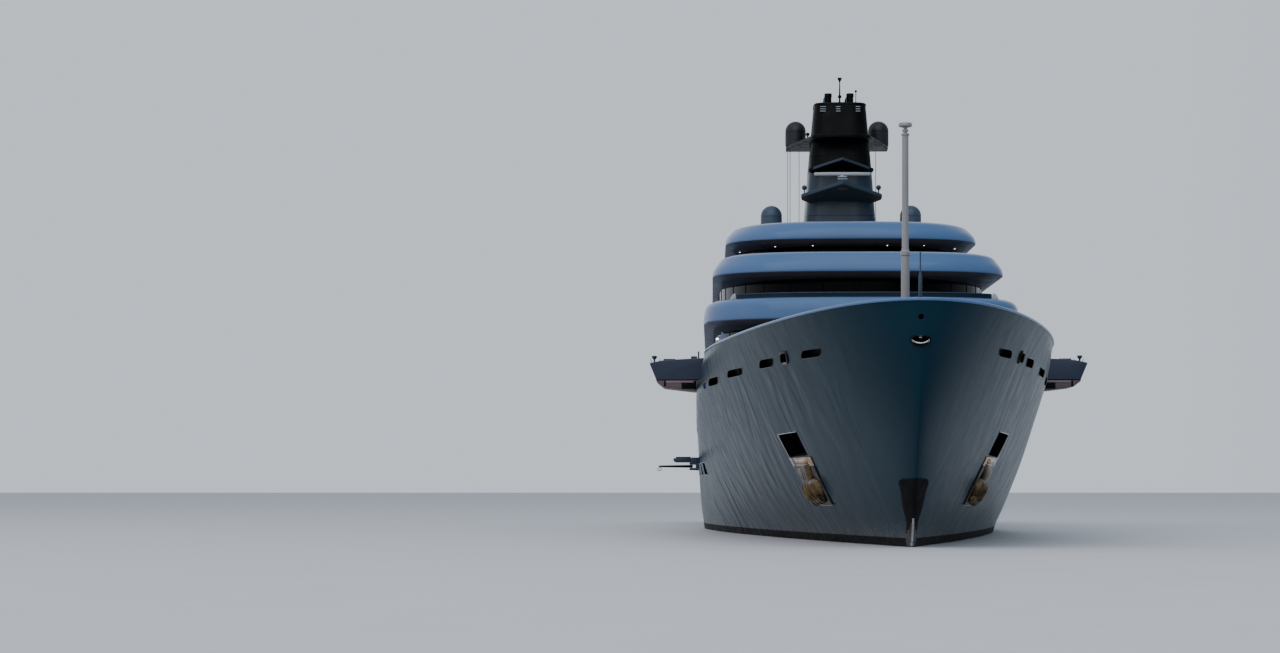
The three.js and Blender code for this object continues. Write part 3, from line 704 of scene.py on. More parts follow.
@dataclass(frozen=True)
class TeakDeck(Coating):
    """Scrubbed teak planks with black caulking: silvered wood whose planks differ a little in tone."""

    name: str = "teak_deck"
    wood: str = "#A98C68"
    silvered: str = "#8F7C63"
    grain: str = "#7F6A50"
    caulking: str = "#1B1917"
    plank_mm: float = 150  # about twice a real plank's width, so that the seams show on the model
    seam_share: float = 0.1

    def inputs(self, tree: Tree, where: Output) -> Inputs:
        """The shader's inputs, with planks that run fore and aft.

        Args:
            tree: the material's node tree.
            where: the coordinates that the patterns read.

        Returns:
            The inputs.
        """
        planks = maths(tree, "MULTIPLY", coordinate(tree, where, 0), per_metre(self.plank_mm))
        number = maths(tree, "FLOOR", planks)
        seam = maths(tree, "LESS_THAN", maths(tree, "FRACT", planks), self.seam_share)
        tone = add_node(tree, "TexWhiteNoise", {"W": number}, noise_dimensions="1D").outputs["Value"]
        along = speckle(tree, stretched(tree, where, (1, 0.05, 1)), 45)
        wood = blended(tree, along, blended(tree, tone, self.wood, self.silvered), self.grain)
        return {
            "Base Color": blended(tree, seam, wood, self.caulking),
            "Roughness": speckle(tree, where, 200, 0.6, 0.8),
            "Normal": bumped(tree, maths(tree, "SUBTRACT", 1.0, seam), 0.25),
        }


@dataclass(frozen=True)
class GelCoat(Coating):
    """Moulded radome: satin gel coat with a little chalk and mould texture."""

    name: str
    colour: str
    chalk: str
    roughness: float = 0.38

    def inputs(self, tree: Tree, where: Output) -> Inputs:
        """The shader's inputs."""
        return {
            "Base Color": blended(tree, speckle(tree, where, 400), self.colour, self.chalk),
            "Roughness": speckle(tree, where, 350, self.roughness * 0.85, self.roughness * 1.2),
            "IOR": 1.48,
            "Normal": bumped(tree, speckle(tree, where, 50), 0.03),
        }


@dataclass(frozen=True)
class LampLens(Coating):
    """A lit lamp behind an opal lens, its tint mottled a little towards white."""

    name: str = "lit_lens"
    colour: str = "#FFF1DC"
    strength: float = 6.0

    def inputs(self, tree: Tree, where: Output) -> Inputs:
        """The shader's inputs."""
        tint = blended(tree, speckle(tree, where, 60), self.colour, "#FFFFFF")
        return {
            "Base Color": tint,
            "Roughness": 0.3,
            "Emission Color": tint,
            "Emission Strength": self.strength,
        }


@dataclass(frozen=True)
class LaidRope(Coating):
    """Polyester halyard: three dull strands laid round each other."""

    name: str = "halyard_rope"
    colour: str = "#6F6A66"
    groove: str = "#2E2C2B"

    def inputs(self, tree: Tree, where: Output) -> Inputs:
        """The shader's inputs, with strands drawn coarser than the real 8 mm so that they show.

        Args:
            tree: the material's node tree.
            where: the coordinates that the patterns read.

        Returns:
            The inputs.
        """
        wave = {"Vector": where, "Scale": per_metre(400), "Distortion": 1.0}
        strands = add_node(tree, "TexWave", wave, bands_direction="DIAGONAL").outputs[1]
        return {
            "Base Color": blended(tree, strands, self.groove, self.colour),
            "Roughness": 0.85,
            "Normal": bumped(tree, strands, 0.1),
        }


@dataclass(frozen=True)
class StudioFloor(Coating):
    """A plain pale floor with a little grain."""

    name: str = "studio_floor"
    colour: str = "#C2C6CA"
    grain: str = "#BEC2C7"

    def inputs(self, tree: Tree, where: Output) -> Inputs:
        """The shader's inputs."""
        return {
            "Base Color": blended(tree, speckle(tree, where, 4000), self.colour, self.grain),
            "Roughness": 0.7,
        }


class Finish(Enum):
    """Every finish on the yacht."""

    HULL = HullEnamel()
    BOTTOM = BottomPaint()
    # The blue-grey is painted dusk skylight: white paint as it looks in the blue shade of evening.
    WHITE = Enamel("superstructure_enamel", "#4F709A", "#4B6B95", 0.18, 0.1, wave_height=0.2, specular=0.16)
    # Painted dusk shade: the slate blue-grey is the tower's grey paint as it looks in evening shade, and the
    # sills, rails, hinges and other parts that use it carry the same painted shade.
    SLATE = Enamel("tower_enamel", "#2A3C4D", "#273747", 0.3, 0.05, specular=0.25)
    BLACK = Enamel("funnel_enamel", "#020303", "#050606", 0.42, 0.0, 900, 0.3, 0.1)
    # Matt black: painted shade in the hull's blind holes, mooring openings and anchor pockets and on the
    # front of the stem plate's upper part; black paint in the wings' seam and trim strips.
    RECESS = Enamel("recess_paint", "#040506", "#08090A", 0.7, 0.0, 500, 0.2, 0.12)
    # Painted dusk shade: the dark slate is the wings' white paint as it looks in shade; the swim platform's
    # edge uses it too.
    WING = Enamel("wing_enamel", "#262F42", "#222A3C", 0.28, 0.05, specular=0.3)
    PALE = Enamel("radar_enamel", "#98A3AC", "#8C97A0", 0.3, 0.2)
    # Painted shade: this darker blue-grey goes on the tiers' faces that look down.
    SOFFIT = Enamel("soffit_painted_shade", "#465167", "#404A5F", 0.4, 0.0, wave_height=0.2, specular=0.06)
    # Painted reflection: the warm mauve is the evening's orange glow as the wings' white underside reflects
    # it.
    WARM = Enamel("wing_underside_enamel", "#5E5254", "#54494C", 0.4, 0.0, specular=0.3)
    PALE_TRIM = Enamel("wing_trim_enamel", "#7A6C74", "#6E6169", 0.4, 0.0, specular=0.3)
    # Painted dusk shade: the grey is the foremast's white paint as it looks in the evening's shade.
    POLE = Enamel("foremast_enamel", "#83868A", "#777A7E", 0.3, 0.3)
    GLASS = TintedGlass()
    # Painted reflection: the windscreen's dark teal is lighter than the deckhouse glass, for the sky it
    # reflects.
    WINDSCREEN = TintedGlass("windscreen_glass", "#16242E", "#1E303C", 0.06)
    STEEL = Metal("polished_stainless", "#C9CCCF", "#A49E97", 0.12)
    ANCHOR = Metal("anchor_bronzed_steel", "#8C7553", "#211C18", 0.26)
    # Painted highlight: the sill's warm orange is the evening glow caught on its bright steel.
    SILL = Metal("sill_worn_bright_steel", "#E2B78C", "#8A6C50", 0.14)
    WORN = Metal("chain_worn_stainless", "#453F39", "#2A2724", 0.3)
    SATIN = Metal("brushed_stainless", "#A9AEB3", "#8F959B", 0.28)
    BRONZE = Metal("propeller_bronze", "#A8824E", "#7C6339", 0.26, 90)
    TEAK = TeakDeck()
    # Painted dusk shade: the roof domes' blue-grey is white gel coat as it looks in evening shade.
    DOME = GelCoat("radome_gel_coat", "#33465C", "#2E3F53", 0.45)
    DARK_DOME = GelCoat("dark_radome_gel_coat", "#0F151D", "#0C1118", 0.5)
    LAMP = LampLens()
    ROPE = LaidRope()

    @lru_cache(maxsize=None)
    def material(self) -> Material:
        """The finish as a Blender material, made once."""
        return self.value.material()


Choice = Callable[[Vector, Vector], int]


def settle(
    obj: Shape,
    name: str,
    slot: Slot,
    *finishes: Finish,
    body: Body = Body.YACHT,
    replaces: Sequence[str] = (),
    angle: float = 32,
    choose: Choice | None = None,
) -> None:
    """Brings a finished shape to the model's size, dresses it and sets it on its body.

    Args:
        obj: the shape, in the real yacht's metres.
        name: the piece's name.
        slot: the record's slot that its finish comes from.
        finishes: its finishes, in the order that choose counts them.
        body: the CAD body that carries it.
        replaces: the CAD nodes that it stands for.
        angle: edges sharper than this, in degrees, stay sharp.
        choose: gives the finish of a face from its centre and normal.
    """
    obj.name = obj.data.name = name
    obj.data.materials.clear()
    for finish in finishes:
        obj.data.materials.append(finish.material())
    if choose:
        for face in obj.data.polygons:
            face.material_index = choose(face.center, face.normal)
    obj.data.transform(Matrix.Scale(MODEL, 4))
    focus(obj)
    bpy.ops.object.shade_smooth_by_angle(angle=math.radians(angle))
    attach(obj, body.value)
    if replaces:
        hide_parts(*replaces)
    LOG.info("%s: %d faces on %s", name, len(obj.data.polygons), body.value)


def planked(floor: float, under: int = 0) -> Choice:
    """Gives finish 1 to the level faces at a height, under to those that look down, and 0 to the rest."""
    return lambda centre, normal: (
        1 if normal.z > 0.95 and abs(centre.z - floor) < 0.02 else under if normal.z < -0.4 else 0
    )


# The hull's form, as in the CAD part.


@dataclass(frozen=True)
class Level:
    """One level of the hull: a share of the sheer's height, or of the keel's depth, from the waterline."""

    share: float
    back: float
    half: float
    entrance: float
    turn: float
    hollow: float


@dataclass(frozen=True)
class HullForm:
    """The hull's outer surface."""

    bow: float = -70
    end: float = 66.5
    rise_start: float = -20  # the sheer rises ahead of this
    draft: float = 5.5
    sheer_high: float = 11.37
    step_up: tuple[float, float, float] = (28, 38, 3.05)
    step_stern: tuple[float, float, float] = (59.6, 64.4, 6.5)
    levels: tuple[Level, ...] = (
        Level(1, -0.4, 10.55, 41, 1.38, 0.484),
        Level(0.82, 0.25, 11.13, 49.2, 1.32, 0.585),
        Level(0.5, 1.43, 11.08, 64.9, 1.665, 0.777),
        Level(0.17, 5.08, 10.92, 71.6, 1.41, 0.822),
        Level(0, 6.65, 10.69, 77.6, 1.54, 1),
        Level(-0.2, 6.85, 10.54, 77.6, 1.54, 1.05),
        Level(-0.5, 7.7, 10.1, 78, 1.5, 1.15),
        Level(-0.85, 9.4, 8.6, 78, 1.5, 1.25),
        Level(-1, 10.9, 4.6, 75, 1.5, 1.3),
    )

    @property
    def tip(self) -> float:
        """Where the top of the stem lies."""
        return self.bow + self.levels[0].back

    def full_sheer(self, y: float) -> float:
        """The hull's top edge without its steps."""
        ahead = max(0, self.rise_start - y)
        return self.sheer_high + 0.684 * (ahead / 50) ** 2.63

    def sheer(self, y: float) -> float:
        """The hull's top edge, with its steps down to the stern."""
        steps = (self.step_up, self.step_stern)
        return self.full_sheer(y) - sum(drop * smoothstep(start, end, y) for start, end, drop in steps)

    def keel(self, y: float) -> float:
        """The height of the hull's lowest line."""
        return -self.draft + 4.8 * (clamp(y - 22, 0, 44.5) / 44.5) ** 1.7

    @lru_cache(maxsize=None)
    def level(self, share: float, column: str) -> float:
        """One value of the levels, on a smooth curve through them.

        Args:
            share: where it is wanted, from 1 at the sheer to -1 at the keel.
            column: the value's name.

        Returns:
            The value.
        """
        s = clamp(share, -1, 1)
        last = len(self.levels) - 1
        i = 0
        while i < last - 1 and s < self.levels[i + 1].share:
            i += 1

        def value(k: int) -> float:
            """The value of one level."""
            return getattr(self.levels[k], column)

        def slope(k: int) -> float:
            """How fast the value changes at one level."""
            before, after = max(0, k - 1), min(last, k + 1)
            return (value(after) - value(before)) / (self.levels[after].share - self.levels[before].share)

        width = self.levels[i + 1].share - self.levels[i].share
        t = (s - self.levels[i].share) / width
        return (
            (2 * t**3 - 3 * t**2 + 1) * value(i)
            + (t**3 - 2 * t**2 + t) * width * slope(i)
            + (3 * t**2 - 2 * t**3) * value(i + 1)
            + (t**3 - t**2) * width * slope(i + 1)
        )


    def stem(self, z: float) -> float:
        """Where the stem lies at a height."""
        return self.bow + self.level(round(z / self.full_sheer(self.bow), 5), "back")

    def half_at_share(self, y: float, share: float) -> float:
        """Half of the beam.

        Args:
            y: the place along the hull.
            share: the share of the height there.

        Returns:
            The distance from the centreline.
        """
        share = round(share, 5)
        t = clamp((y - self.bow - self.level(share, "back")) / self.level(share, "entrance"), 0, 1)
        bow = (1 - (1 - t) ** self.level(share, "turn")) ** self.level(share, "hollow")
        stern = 1 - 0.13 * (clamp(y - 20, 0, 50) / 46) ** 2
        return self.level(share, "half") * bow * stern

    def half(self, y: float, z: float) -> float:
        """Half of the beam at a height over the waterline."""
        return self.half_at_share(y, z / self.full_sheer(y) if z >= 0 else z / -self.keel(y))

    def outward(self, y: float, z: float) -> Vector:
        """The direction that the port side faces.

        Args:
            y: the place along the hull.
            z: its height.

        Returns:
            The unit vector.
        """
        step = 0.05
        along = Vector((self.half(y + step, z) - self.half(y - step, z), 2 * step, 0))
        up = Vector((self.half(y, z + step) - self.half(y, z - step), 0, 2 * step))
        return along.cross(up).normalized()

    def on_side(self, y: float, z: float, side: Side, out: float = 0) -> Point:
        """A point on the hull's side, pushed out along the surface's direction."""
        point = Vector((self.half(y, z), y, z)) + self.outward(y, z) * out
        return side.value * point.x, point.y, point.z

    def body(self, stations: int = 220, above: int = 30, below: int = 14) -> Shape:
        """The whole hull up to its full sheer, as one closed skin.

        Args:
            stations: how many sections it has from bow to stern.
            above: how many levels over the waterline.
            below: how many levels under the waterline.

        Returns:
            The skin.
        """
        shares = spread(1, 0, above) + spread(0, -1, below)[1:]
        rows = []
        for u in spread(0, 1, stations, 1.7):
            port = []
            for share in shares:
                y = mix(self.bow + self.level(round(share, 5), "back"), self.end, u)
                z = share * self.full_sheer(y) if share >= 0 else -share * self.keel(y)
                port.append((self.half_at_share(y, share), y, z))
            rows.append(port + [(-x, y, z) for x, y, z in reversed(port)])
        return surface(rows)

    def deck_edge(
        self, inset: float, start: float, end: float, count: int, z: float | None = None
    ) -> list[Point]:
        """The port edge of the deck in plan, moved inwards, from the bow aft.

        Args:
            inset: how far it is moved in.
            start: where it begins.
            end: where it ends.
            count: how many places are tried; those that cross the centreline are dropped.
            z: the height, or None for the sheer.

        Returns:
            The edge's points.
        """
        step = 0.01
        points = []
        for y in spread(start, end, count, 2.6):
            height = self.full_sheer(y) if z is None else z
            x = self.half(y, height)
            run = Vector((self.half(y + step, height) - self.half(max(self.tip, y - step), height), 2 * step))
            inwards = Vector((-run.y, run.x)).normalized() * inset
            if x + inwards.x > 0.03:
                points.append((x + inwards.x, y + inwards.y, height))
        return points


def around_bow(port: Sequence[Point]) -> list[Point]:
    """A port line from the bow aft, carried on round the bow to starboard."""
    return list(reversed(port)) + [(-x, y, z) for x, y, z in port]


def swept(path: Sequence[Point], section: Sequence[Pair]) -> Shape:
    """Sweeps a closed section along a level path round the deck.

    Args:
        path: points from the port end round the bow to the starboard end.
        section: pairs of how far outwards and how far up.

    Returns:
        The swept solid.
    """
    rows = []
    for k, point in enumerate(path):
        before, after = path[max(k - 1, 0)], path[min(k + 1, len(path) - 1)]
        run = Vector((after[0] - before[0], after[1] - before[1])).normalized()
        out = Vector((-run.y, run.x))
        if out.dot(Vector((point[0], point[1]))) < 0:
            out = -out
        rows.append([(point[0] + out.x * u, point[1] + out.y * u, point[2] + v) for u, v in section])
    return surface(rows)


FORM = HullForm()
MAIN_DECK = 10.6
AFT_DECK = 7.2
PLATFORM_DECK = 1.8
PLATFORM_SEAT = 1.5
TRANSOM = 59.5
ABOVE_ALL = 14.0  # over the hull's top, for cuts that go right up
RUDDER_POST: Pair = (4.2, 60.8)  # its x to port and its y


@dataclass(frozen=True)
class Oval:
    """An oval on the centreline, seen from ahead: its middle's height and its half sizes."""

    z: float
    half: float
    high: float

    def outline(self, count: int, grow: float = 0) -> list[Pair]:
        """Count points round it, as pairs of x and z, moved outwards."""
        wide, high = self.half + grow, self.high + grow
        return [(wide * math.cos(a), self.z + high * math.sin(a)) for a in angles(count)]


FAIRLEAD = Oval(10.18, 0.37, 0.17)
STEM_HOLE = Oval(11.3, 0.13, 0.13)


@dataclass(frozen=True)
class Opening:
    """A rounded opening in the hull's side, whose corners may be drawn out along the hull by stretch."""

    y: float
    z: float
    half: float
    high: float
    radius: float
    lean: float = 0
    stretch: float = 1

    def outline(self, steps: int = 5) -> list[Pair]:
        """The opening's edge.

        Args:
            steps: how many stretches each corner gets.

        Returns:
            Pairs of y and z.
        """
        points = []
        run = min(self.half - 0.01, self.radius * self.stretch)
        for turn, (sy, sz) in enumerate(((1, 1), (-1, 1), (-1, -1), (1, -1))):
            for k in range(steps + 1):
                angle = math.pi / 2 * (turn + k / steps)
                up = sz * (self.high - self.radius) + self.radius * math.sin(angle)
                along = sy * (self.half - run) + run * math.cos(angle)
                points.append((self.y + along + self.lean * up, self.z + up))
        return points

    def tool(self, side: Side, depth: float) -> Shape:
        """The solid that cuts the opening to a depth."""
        rows = [[FORM.on_side(y, z, side, out) for y, z in self.outline()] for out in (0.3, -depth)]
        return surface(rows)

    def rim(self, side: Side, radius: float, out: float = 0) -> Shape:
        """A round bead along the opening's edge."""
        return tube([FORM.on_side(y, z, side, out) for y, z in self.outline()], radius, 6, looped=True)


@dataclass
class Hull:
    """The hull with its decks, bulwarks, openings and cap rail."""

    bulwark: float = 0.4
    well_aft: float = 30
    mooring: tuple[Opening, ...] = (
        Opening(-60.4, 9.94, 1.52, 0.21, 0.16, -1.8, 3),
        Opening(-51.6, 9.8, 1.62, 0.23, 0.16, -2.1, 3.5),
        Opening(-42.3, 9.64, 2.52, 0.21, 0.16, -2.2, 4),
        Opening(-33.1, 9.47, 2.28, 0.23, 0.16, -2.2, 4),
        Opening(-28.1, 9.4, 0.62, 0.21, 0.16, -2.0, 3),
    )
    leads: tuple[Opening, ...] = (Opening(-55.8, 9.93, 0.62, 0.27, 0.25, -1.2),)
    mooring_depth: float = 0.45
    porthole_rows: tuple[Point, ...] = ((-10, 56, 7.3), (-10, 50, 4.35))  # each row's ends and height
    porthole_pitch: float = 3.9
    porthole_half: Pair = (1.05, 0.42)
    stairs: tuple[float, float, float] = (5.2, 7.8, 53.1)
    anchor_pocket: tuple[Pair, ...] = ((-51.65, 6.06), (-47.3, 5.97), (-47.35, 4.73), (-51.75, 4.79))
    pocket_depth: float = 0.85
    club: tuple[Point, Point] = ((-4.3, 51.5, 2.1), (4.3, TRANSOM, 6.2))
    door_seat: tuple[Point, Point] = ((-4.55, TRANSOM - 0.353, 1.95), (4.55, TRANSOM + 1, 6.45))
    skeg: tuple[Pair, ...] = ((26, -3), (34, -5.5), (50, -5.5), (53, -1))
    cap_width: float = 0.5
    cap_high: float = 0.14
    cap_inset: float = 0.19

    def anchor_pockets(self) -> list[Shape]:
        """The tools that cut the anchors' pockets into both sides."""
        depths = (0.3, -self.pocket_depth)
        return [
            surface([[FORM.on_side(y, z, side, out) for y, z in self.anchor_pocket] for out in depths])
            for side in Side
        ]

    def portholes(self) -> list[Opening]:
        """The side windows of the lower decks, aft of the bow.

        Returns:
            The windows of one side, every third one longer.
        """
        made = []
        half, high = self.porthole_half
        for start, end, z in self.porthole_rows:
            for k in range(int((end - start) / self.porthole_pitch)):
                y = start + self.porthole_pitch * k
                made.append(Opening(y, z, half if k % 3 else half + 0.4, high, 0.2))
        return made

    def wells(self) -> list[Shape]:
        """The tools that sink the decks inside the bulwarks.

        Returns:
            The tools for the foredeck with the main deck, and for the aft deck.
        """
        tools = []
        for floor, start, end in (
            (MAIN_DECK, FORM.tip, self.well_aft), (AFT_DECK, self.well_aft, TRANSOM - 0.6)
        ):
            if start == FORM.tip:
                low = FORM.deck_edge(self.bulwark, start, end, 70, z=floor)
                high = FORM.deck_edge(self.bulwark, start, end, 70)
                count = min(len(low), len(high))
                low, high = low[-count:], high[-count:]
            else:
                places = [(y, FORM.full_sheer(y)) for y in spread(start, end, 20)]
                low = [(FORM.half(y, floor) - self.bulwark, y, floor) for y, _ in places]
                high = [(FORM.half(y, z) - self.bulwark, y, z) for y, z in places]
            rows = [[(x, y, floor) for x, y, _ in low], high, [(x, y, ABOVE_ALL) for x, y, _ in high]]
            tools.append(surface([row + [(-x, y, z) for x, y, z in reversed(row)] for row in rows]))
        return tools

    def shell(self) -> None:
        """The hull, cut and dressed."""
        start, end = FORM.step_up[0], 67
        steps = spread(start - 2, 38, 25) + spread(59.6, 64.4, 14) + [end]
        above = [(y, min(FORM.sheer(y), 12 if y < start else 99)) for y in steps]
        above += [(end, ABOVE_ALL), (start - 2, ABOVE_ALL)]
        bulb = ball((0, -58, -3.3), (1.6, 6, 1.7), 40)
        hull = united(FORM.body(), bulb, prism(self.skeg, "X", -0.25, 0.25))
        cut(
            hull,
            prism(above, "X", -14, 14),
            *self.wells(),
            block((-8.2, TRANSOM, PLATFORM_SEAT), (8.2, 68, ABOVE_ALL)),
            block((-12, 64.4, PLATFORM_SEAT), (12, 68, ABOVE_ALL)),
            block(*self.club),
            block(*self.door_seat),
            prism(FAIRLEAD.outline(32, 0.02), "Y", -71, -68.6),
            prism(STEM_HOLE.outline(16), "Y", -71, FORM.stem(STEM_HOLE.z) + 0.3),
            *self.anchor_pockets(),
        )
        inner, outer, top = self.stairs
        x, y = RUDDER_POST
        for side in Side:
            cut(
                hull,
                side_block(side, (inner, outer), (top, PLATFORM_SEAT), (TRANSOM + 0.1, ABOVE_ALL)),
                turned([(0.24, -4), (0.24, -1.2)], side.value * x, y, 24),
                joined(*(opening.tool(side, self.mooring_depth) for opening in self.mooring + self.leads)),
                joined(*(opening.tool(side, 0.1) for opening in self.portholes())),
            )
        settle(
            hull, "hull_shell", Slot.HULL,
            Finish.HULL, Finish.WHITE, Finish.TEAK, Finish.RECESS, Finish.GLASS,
            replaces=["hull"], angle=24, choose=self.finish_of,
        )

    def in_stem_hole(self, x: float, y: float, z: float) -> bool:
        """Whether a place is inside one of the two holes through the stem."""
        deep = x < 0.5 and y > FORM.stem(z) + 0.2
        return deep and (abs(z - FAIRLEAD.z) < 0.3 or abs(z - STEM_HOLE.z) < 0.2)

    def finish_of(self, centre: Vector, normal: Vector) -> int:
        """Chooses the finish of a face of the hull.

        Args:
            centre: the face's middle.
            normal: the direction that it faces.

        Returns:
            0 for hull paint, 1 for the inside's paint, 2 for teak, 3 for painted shade in recesses and 4 for
            glass.
        """
        x, y, z = abs(centre.x), centre.y, centre.z
        if normal.z > 0.95 and min(abs(z - MAIN_DECK), abs(z - AFT_DECK)) < 0.02:
            return 2
        level = clamp(z, FORM.keel(y), FORM.full_sheer(y))
        skin = FORM.outward(y, level)
        depth = (FORM.half(y, level) - x) * skin.x
        facing = Vector((math.copysign(normal.x, normal.x * centre.x), normal.y, normal.z)).dot(skin)
        # Painted shade: black deep inside the two holes in the stem.
        if y < -67.5 and normal.y < -0.3:
            return 3 if self.in_stem_hole(x, y, z) else 0
        if z < 1.4 or (depth < 0.03 and facing > 0.6):
            return 0
        # Painted shade: black inside the mooring openings and the anchor pockets.
        in_mooring = y < -29 and 9 < z < 10.5 and depth < 0.7
        in_pocket = -52.5 < y < -46.5 and 4.4 < z < 6.3
        if in_mooring or in_pocket:
            return 3
        if depth < 0.3 and z < 8.2 and -12 < y < 58:
            return 4
        return 1 if z > 6 or y > 50 else 0

    def cap_rail(self) -> None:
        """The moulded rail along the top of the bulwarks."""
        inset = self.cap_inset
        port = FORM.deck_edge(inset, FORM.tip, 27.9, 140)
        port += [(FORM.half(y, FORM.sheer(y)) - inset, y, FORM.sheer(y)) for y in spread(28, 59.2, 50)]
        half, high = self.cap_width / 2, self.cap_high
        section = [
            (-half, 0.0), (half * 0.9, 0.0), (half, 0.03), (half, high * 0.7), (half * 0.8, high),
            (0.0, high * 1.15), (-half * 0.8, high), (-half, high * 0.7),
        ]
        path = [(x, y, z + GAP) for x, y, z in around_bow(port)]
        settle(swept(path, section), "cap_rail", Slot.WHITE, Finish.WHITE, angle=50)

    def opening_rims(self) -> None:
        """The beads round the openings."""
        kinds = (
            ("mooring_rims", self.mooring, 0.022, 0, Finish.WORN),
            ("side_fairlead", self.leads, 0.07, 0.03, Finish.WORN),
            ("porthole_rims", self.portholes(), 0.03, 0, Finish.SATIN),
        )
        for side in Side:
            for name, openings, radius, out, finish in kinds:
                beads = [opening.rim(side, radius, out) for opening in openings]
                settle(joined(*beads), f"{name}_{side.label}", Slot.STEEL, finish)
        path = [(x, FORM.stem(z) + 0.02, z) for x, z in STEM_HOLE.outline(24)]
        settle(tube(path, 0.02, 8, looped=True), "stem_hole_ring", Slot.STEEL, Finish.BLACK)

    def build(self) -> None:
        """Builds the hull's pieces."""
        self.shell()
        self.cap_rail()
        self.opening_rims()


# Bow gear.


@dataclass
class BowGear:
    """The stem plate, fairlead, anchors, foremast, capstans and jackstaff."""

    plate_rows: tuple[Pair, ...] = (
        (0.05, 0.2), (0.5, 0.26), (1.25, 0.3), (1.7, 0.42), (2.4, 0.58), (2.9, 0.67), (3.2, 0.76),
        (3.38, 0.74), (3.45, 0.64),
    )
    guard_top: float = 4.72
    guard_foot: float = 2.12
    guard_front: Pair = (-52.2, -51.95)
    guard_aft: Pair = (-47.4, -48.3)
    mast_y: float = -58
    pivot: float = 11.6
    mast_profile: tuple[Pair, ...] = (
        (0, 12.2), (0.37, 12.2), (0.37, 12.32), (0.3, 12.48), (0.22, 12.6), (0.22, 15.15),
        (0.27, 15.2), (0.27, 15.38), (0.2, 15.45), (0.178, 15.6), (0.172, 21.1), (0.172, 21.46),
        (0.215, 21.48), (0.215, 21.57), (0.11, 21.59), (0.1, 21.66), (0.17, 21.68), (0.17, 21.77),
        (0.1, 21.79), (0.1, 21.87), (0.33, 21.93), (0.36, 21.97), (0.36, 22.06), (0.32, 22.13),
        (0, 22.17),
    )
    capstan: Pair = (2.4, -55)
    staff_y: float = -69.6
    staff_top: float = 14.5

    def stem_face(self, z: float, half: float, out: float, columns: int = 13) -> list[Point]:
        """Points across the stem at one height.

        Args:
            z: the height.
            half: how far they reach to each side.
            out: how far they are pushed forwards.
            columns: how many there are.

        Returns:
            The points, from starboard to port.
        """
        points = []
        for x in spread(-half, half, columns):
            low, high = FORM.tip, -50.0
            for _ in range(40):
                y = (low + high) / 2
                low, high = (low, y) if FORM.half(y, z) > abs(x) else (y, high)
            points.append((x, low - out, z))
        return points

    def stem_plate(self) -> None:
        """The plate that guards the stem from the anchor chains, with painted shade on the front of its upper
        part.
        """
        rows = curve_through(self.plate_rows[:-2], 4) + list(self.plate_rows[-2:])
        ring = [self.stem_face(z, half, 0.11) + self.stem_face(z, half, 0.02)[::-1] for z, half in rows]
        plate = bevelled(surface(ring), 0.025, 2, 50)
        edge = [(0, self.stem_face(z, 0.1, 0.11)[6][1], z) for z in spread(0.35, 1.42, 12)]

        def pick(centre: Vector, normal: Vector) -> int:
            """Polished on the edge bar, painted shade on the upper part's front, and worn elsewhere."""
            x, z = abs(centre.x), centre.z
            # Painted shade: black on the forward faces of the upper part.
            dark = 1 if z > mix(1.5, 0.5, x / 0.3) and normal.y < -0.2 else 2
            return 0 if x < 0.055 and z < 1.45 else dark

        settle(
            joined(plate, tube(edge, [0.055] * 11 + [0.02])), "stem_guard", Slot.STEEL,
            Finish.STEEL, Finish.RECESS, Finish.WORN, replaces=["stem_plate"], choose=pick,
        )

    def fairlead(self) -> None:
        """The oval fairlead through the stem, with a thick rolled lip."""
        front = FORM.stem(FAIRLEAD.z)
        section = (
            (0.0, 0.9), (0.0, 0.05), (0.02, -0.02), (0.06, -0.05), (0.12, -0.03), (0.14, 0.03),
            (0.1, 0.12), (0.02, 0.9),
        )
        rows = [[(x, front + back, z) for x, z in FAIRLEAD.outline(40, grow)] for grow, back in section]
        arc = spread(math.pi * 1.03, math.pi * 1.97, 24)
        lip = [(0.35 * math.cos(a), front - 0.05, FAIRLEAD.z + 0.15 * math.sin(a)) for a in arc]
        bar = [(x, front + 0.12, FAIRLEAD.z + 0.13) for x in (-0.07, 0.07)]
        settle(
            joined(
                surface(rows, looped=True), tube(lip, [0.02] + [0.038] * 22 + [0.02], 12), tube(bar, 0.035)
            ),
            "stem_fairlead", Slot.STEEL, Finish.BLACK, Finish.STEEL, replaces=["bow_fairlead"],
            choose=lambda centre, normal: int(self.fairlead_bright(centre, front)),
        )

    def fairlead_bright(self, centre: Vector, front: float) -> bool:
        """Whether a face of the fairlead is polished.

        Args:
            centre: the face's middle.
            front: where the fairlead meets the stem.

        Returns:
            True on the lip and on the bar over it.
        """
        up = centre.z - FAIRLEAD.z
        near = math.hypot(abs(math.hypot(centre.x / 0.35, up / 0.15) - 1) * 0.2, centre.y - front + 0.05)
        return (up < 0.02 and near < 0.05) or (up > 0.09 and abs(centre.x) < 0.08 and centre.y > front)

    def anchor_plate(self, side: Side) -> None:
        """The plate under an anchor, with a sill over it and bars at its foot, its edge and its top.

        Args:
            side: the side that it is on.
        """

        def bead(
            places: Sequence[Pair], out: float, radius: float | Sequence[float], sides: int = 8
        ) -> Shape:
            """A round bar on the hull's side, along pairs of y and z."""
            return tube([FORM.on_side(y, z, side, out) for y, z in places], radius, sides)

        def pick(centre: Vector, normal: Vector) -> int:
            """Chooses the finish of a face.

            Args:
                centre: the face's middle.
                normal: the direction that it faces.

            Returns:
                0 on the worn plate, 1 on the polished bars and 2 on the sill, whose warm colour is a painted
                highlight.
            """
            y, z = centre.y, centre.z
            # The sill's faces get the warm painted highlight.
            if 4.25 < z < self.guard_top and y < -48.7:
                return 2
            edge = mix(-48.36, -47.4, (z - self.guard_foot) / 3.9)
            return 1 if z < 2.2 or z > 5.9 or y > edge else 0

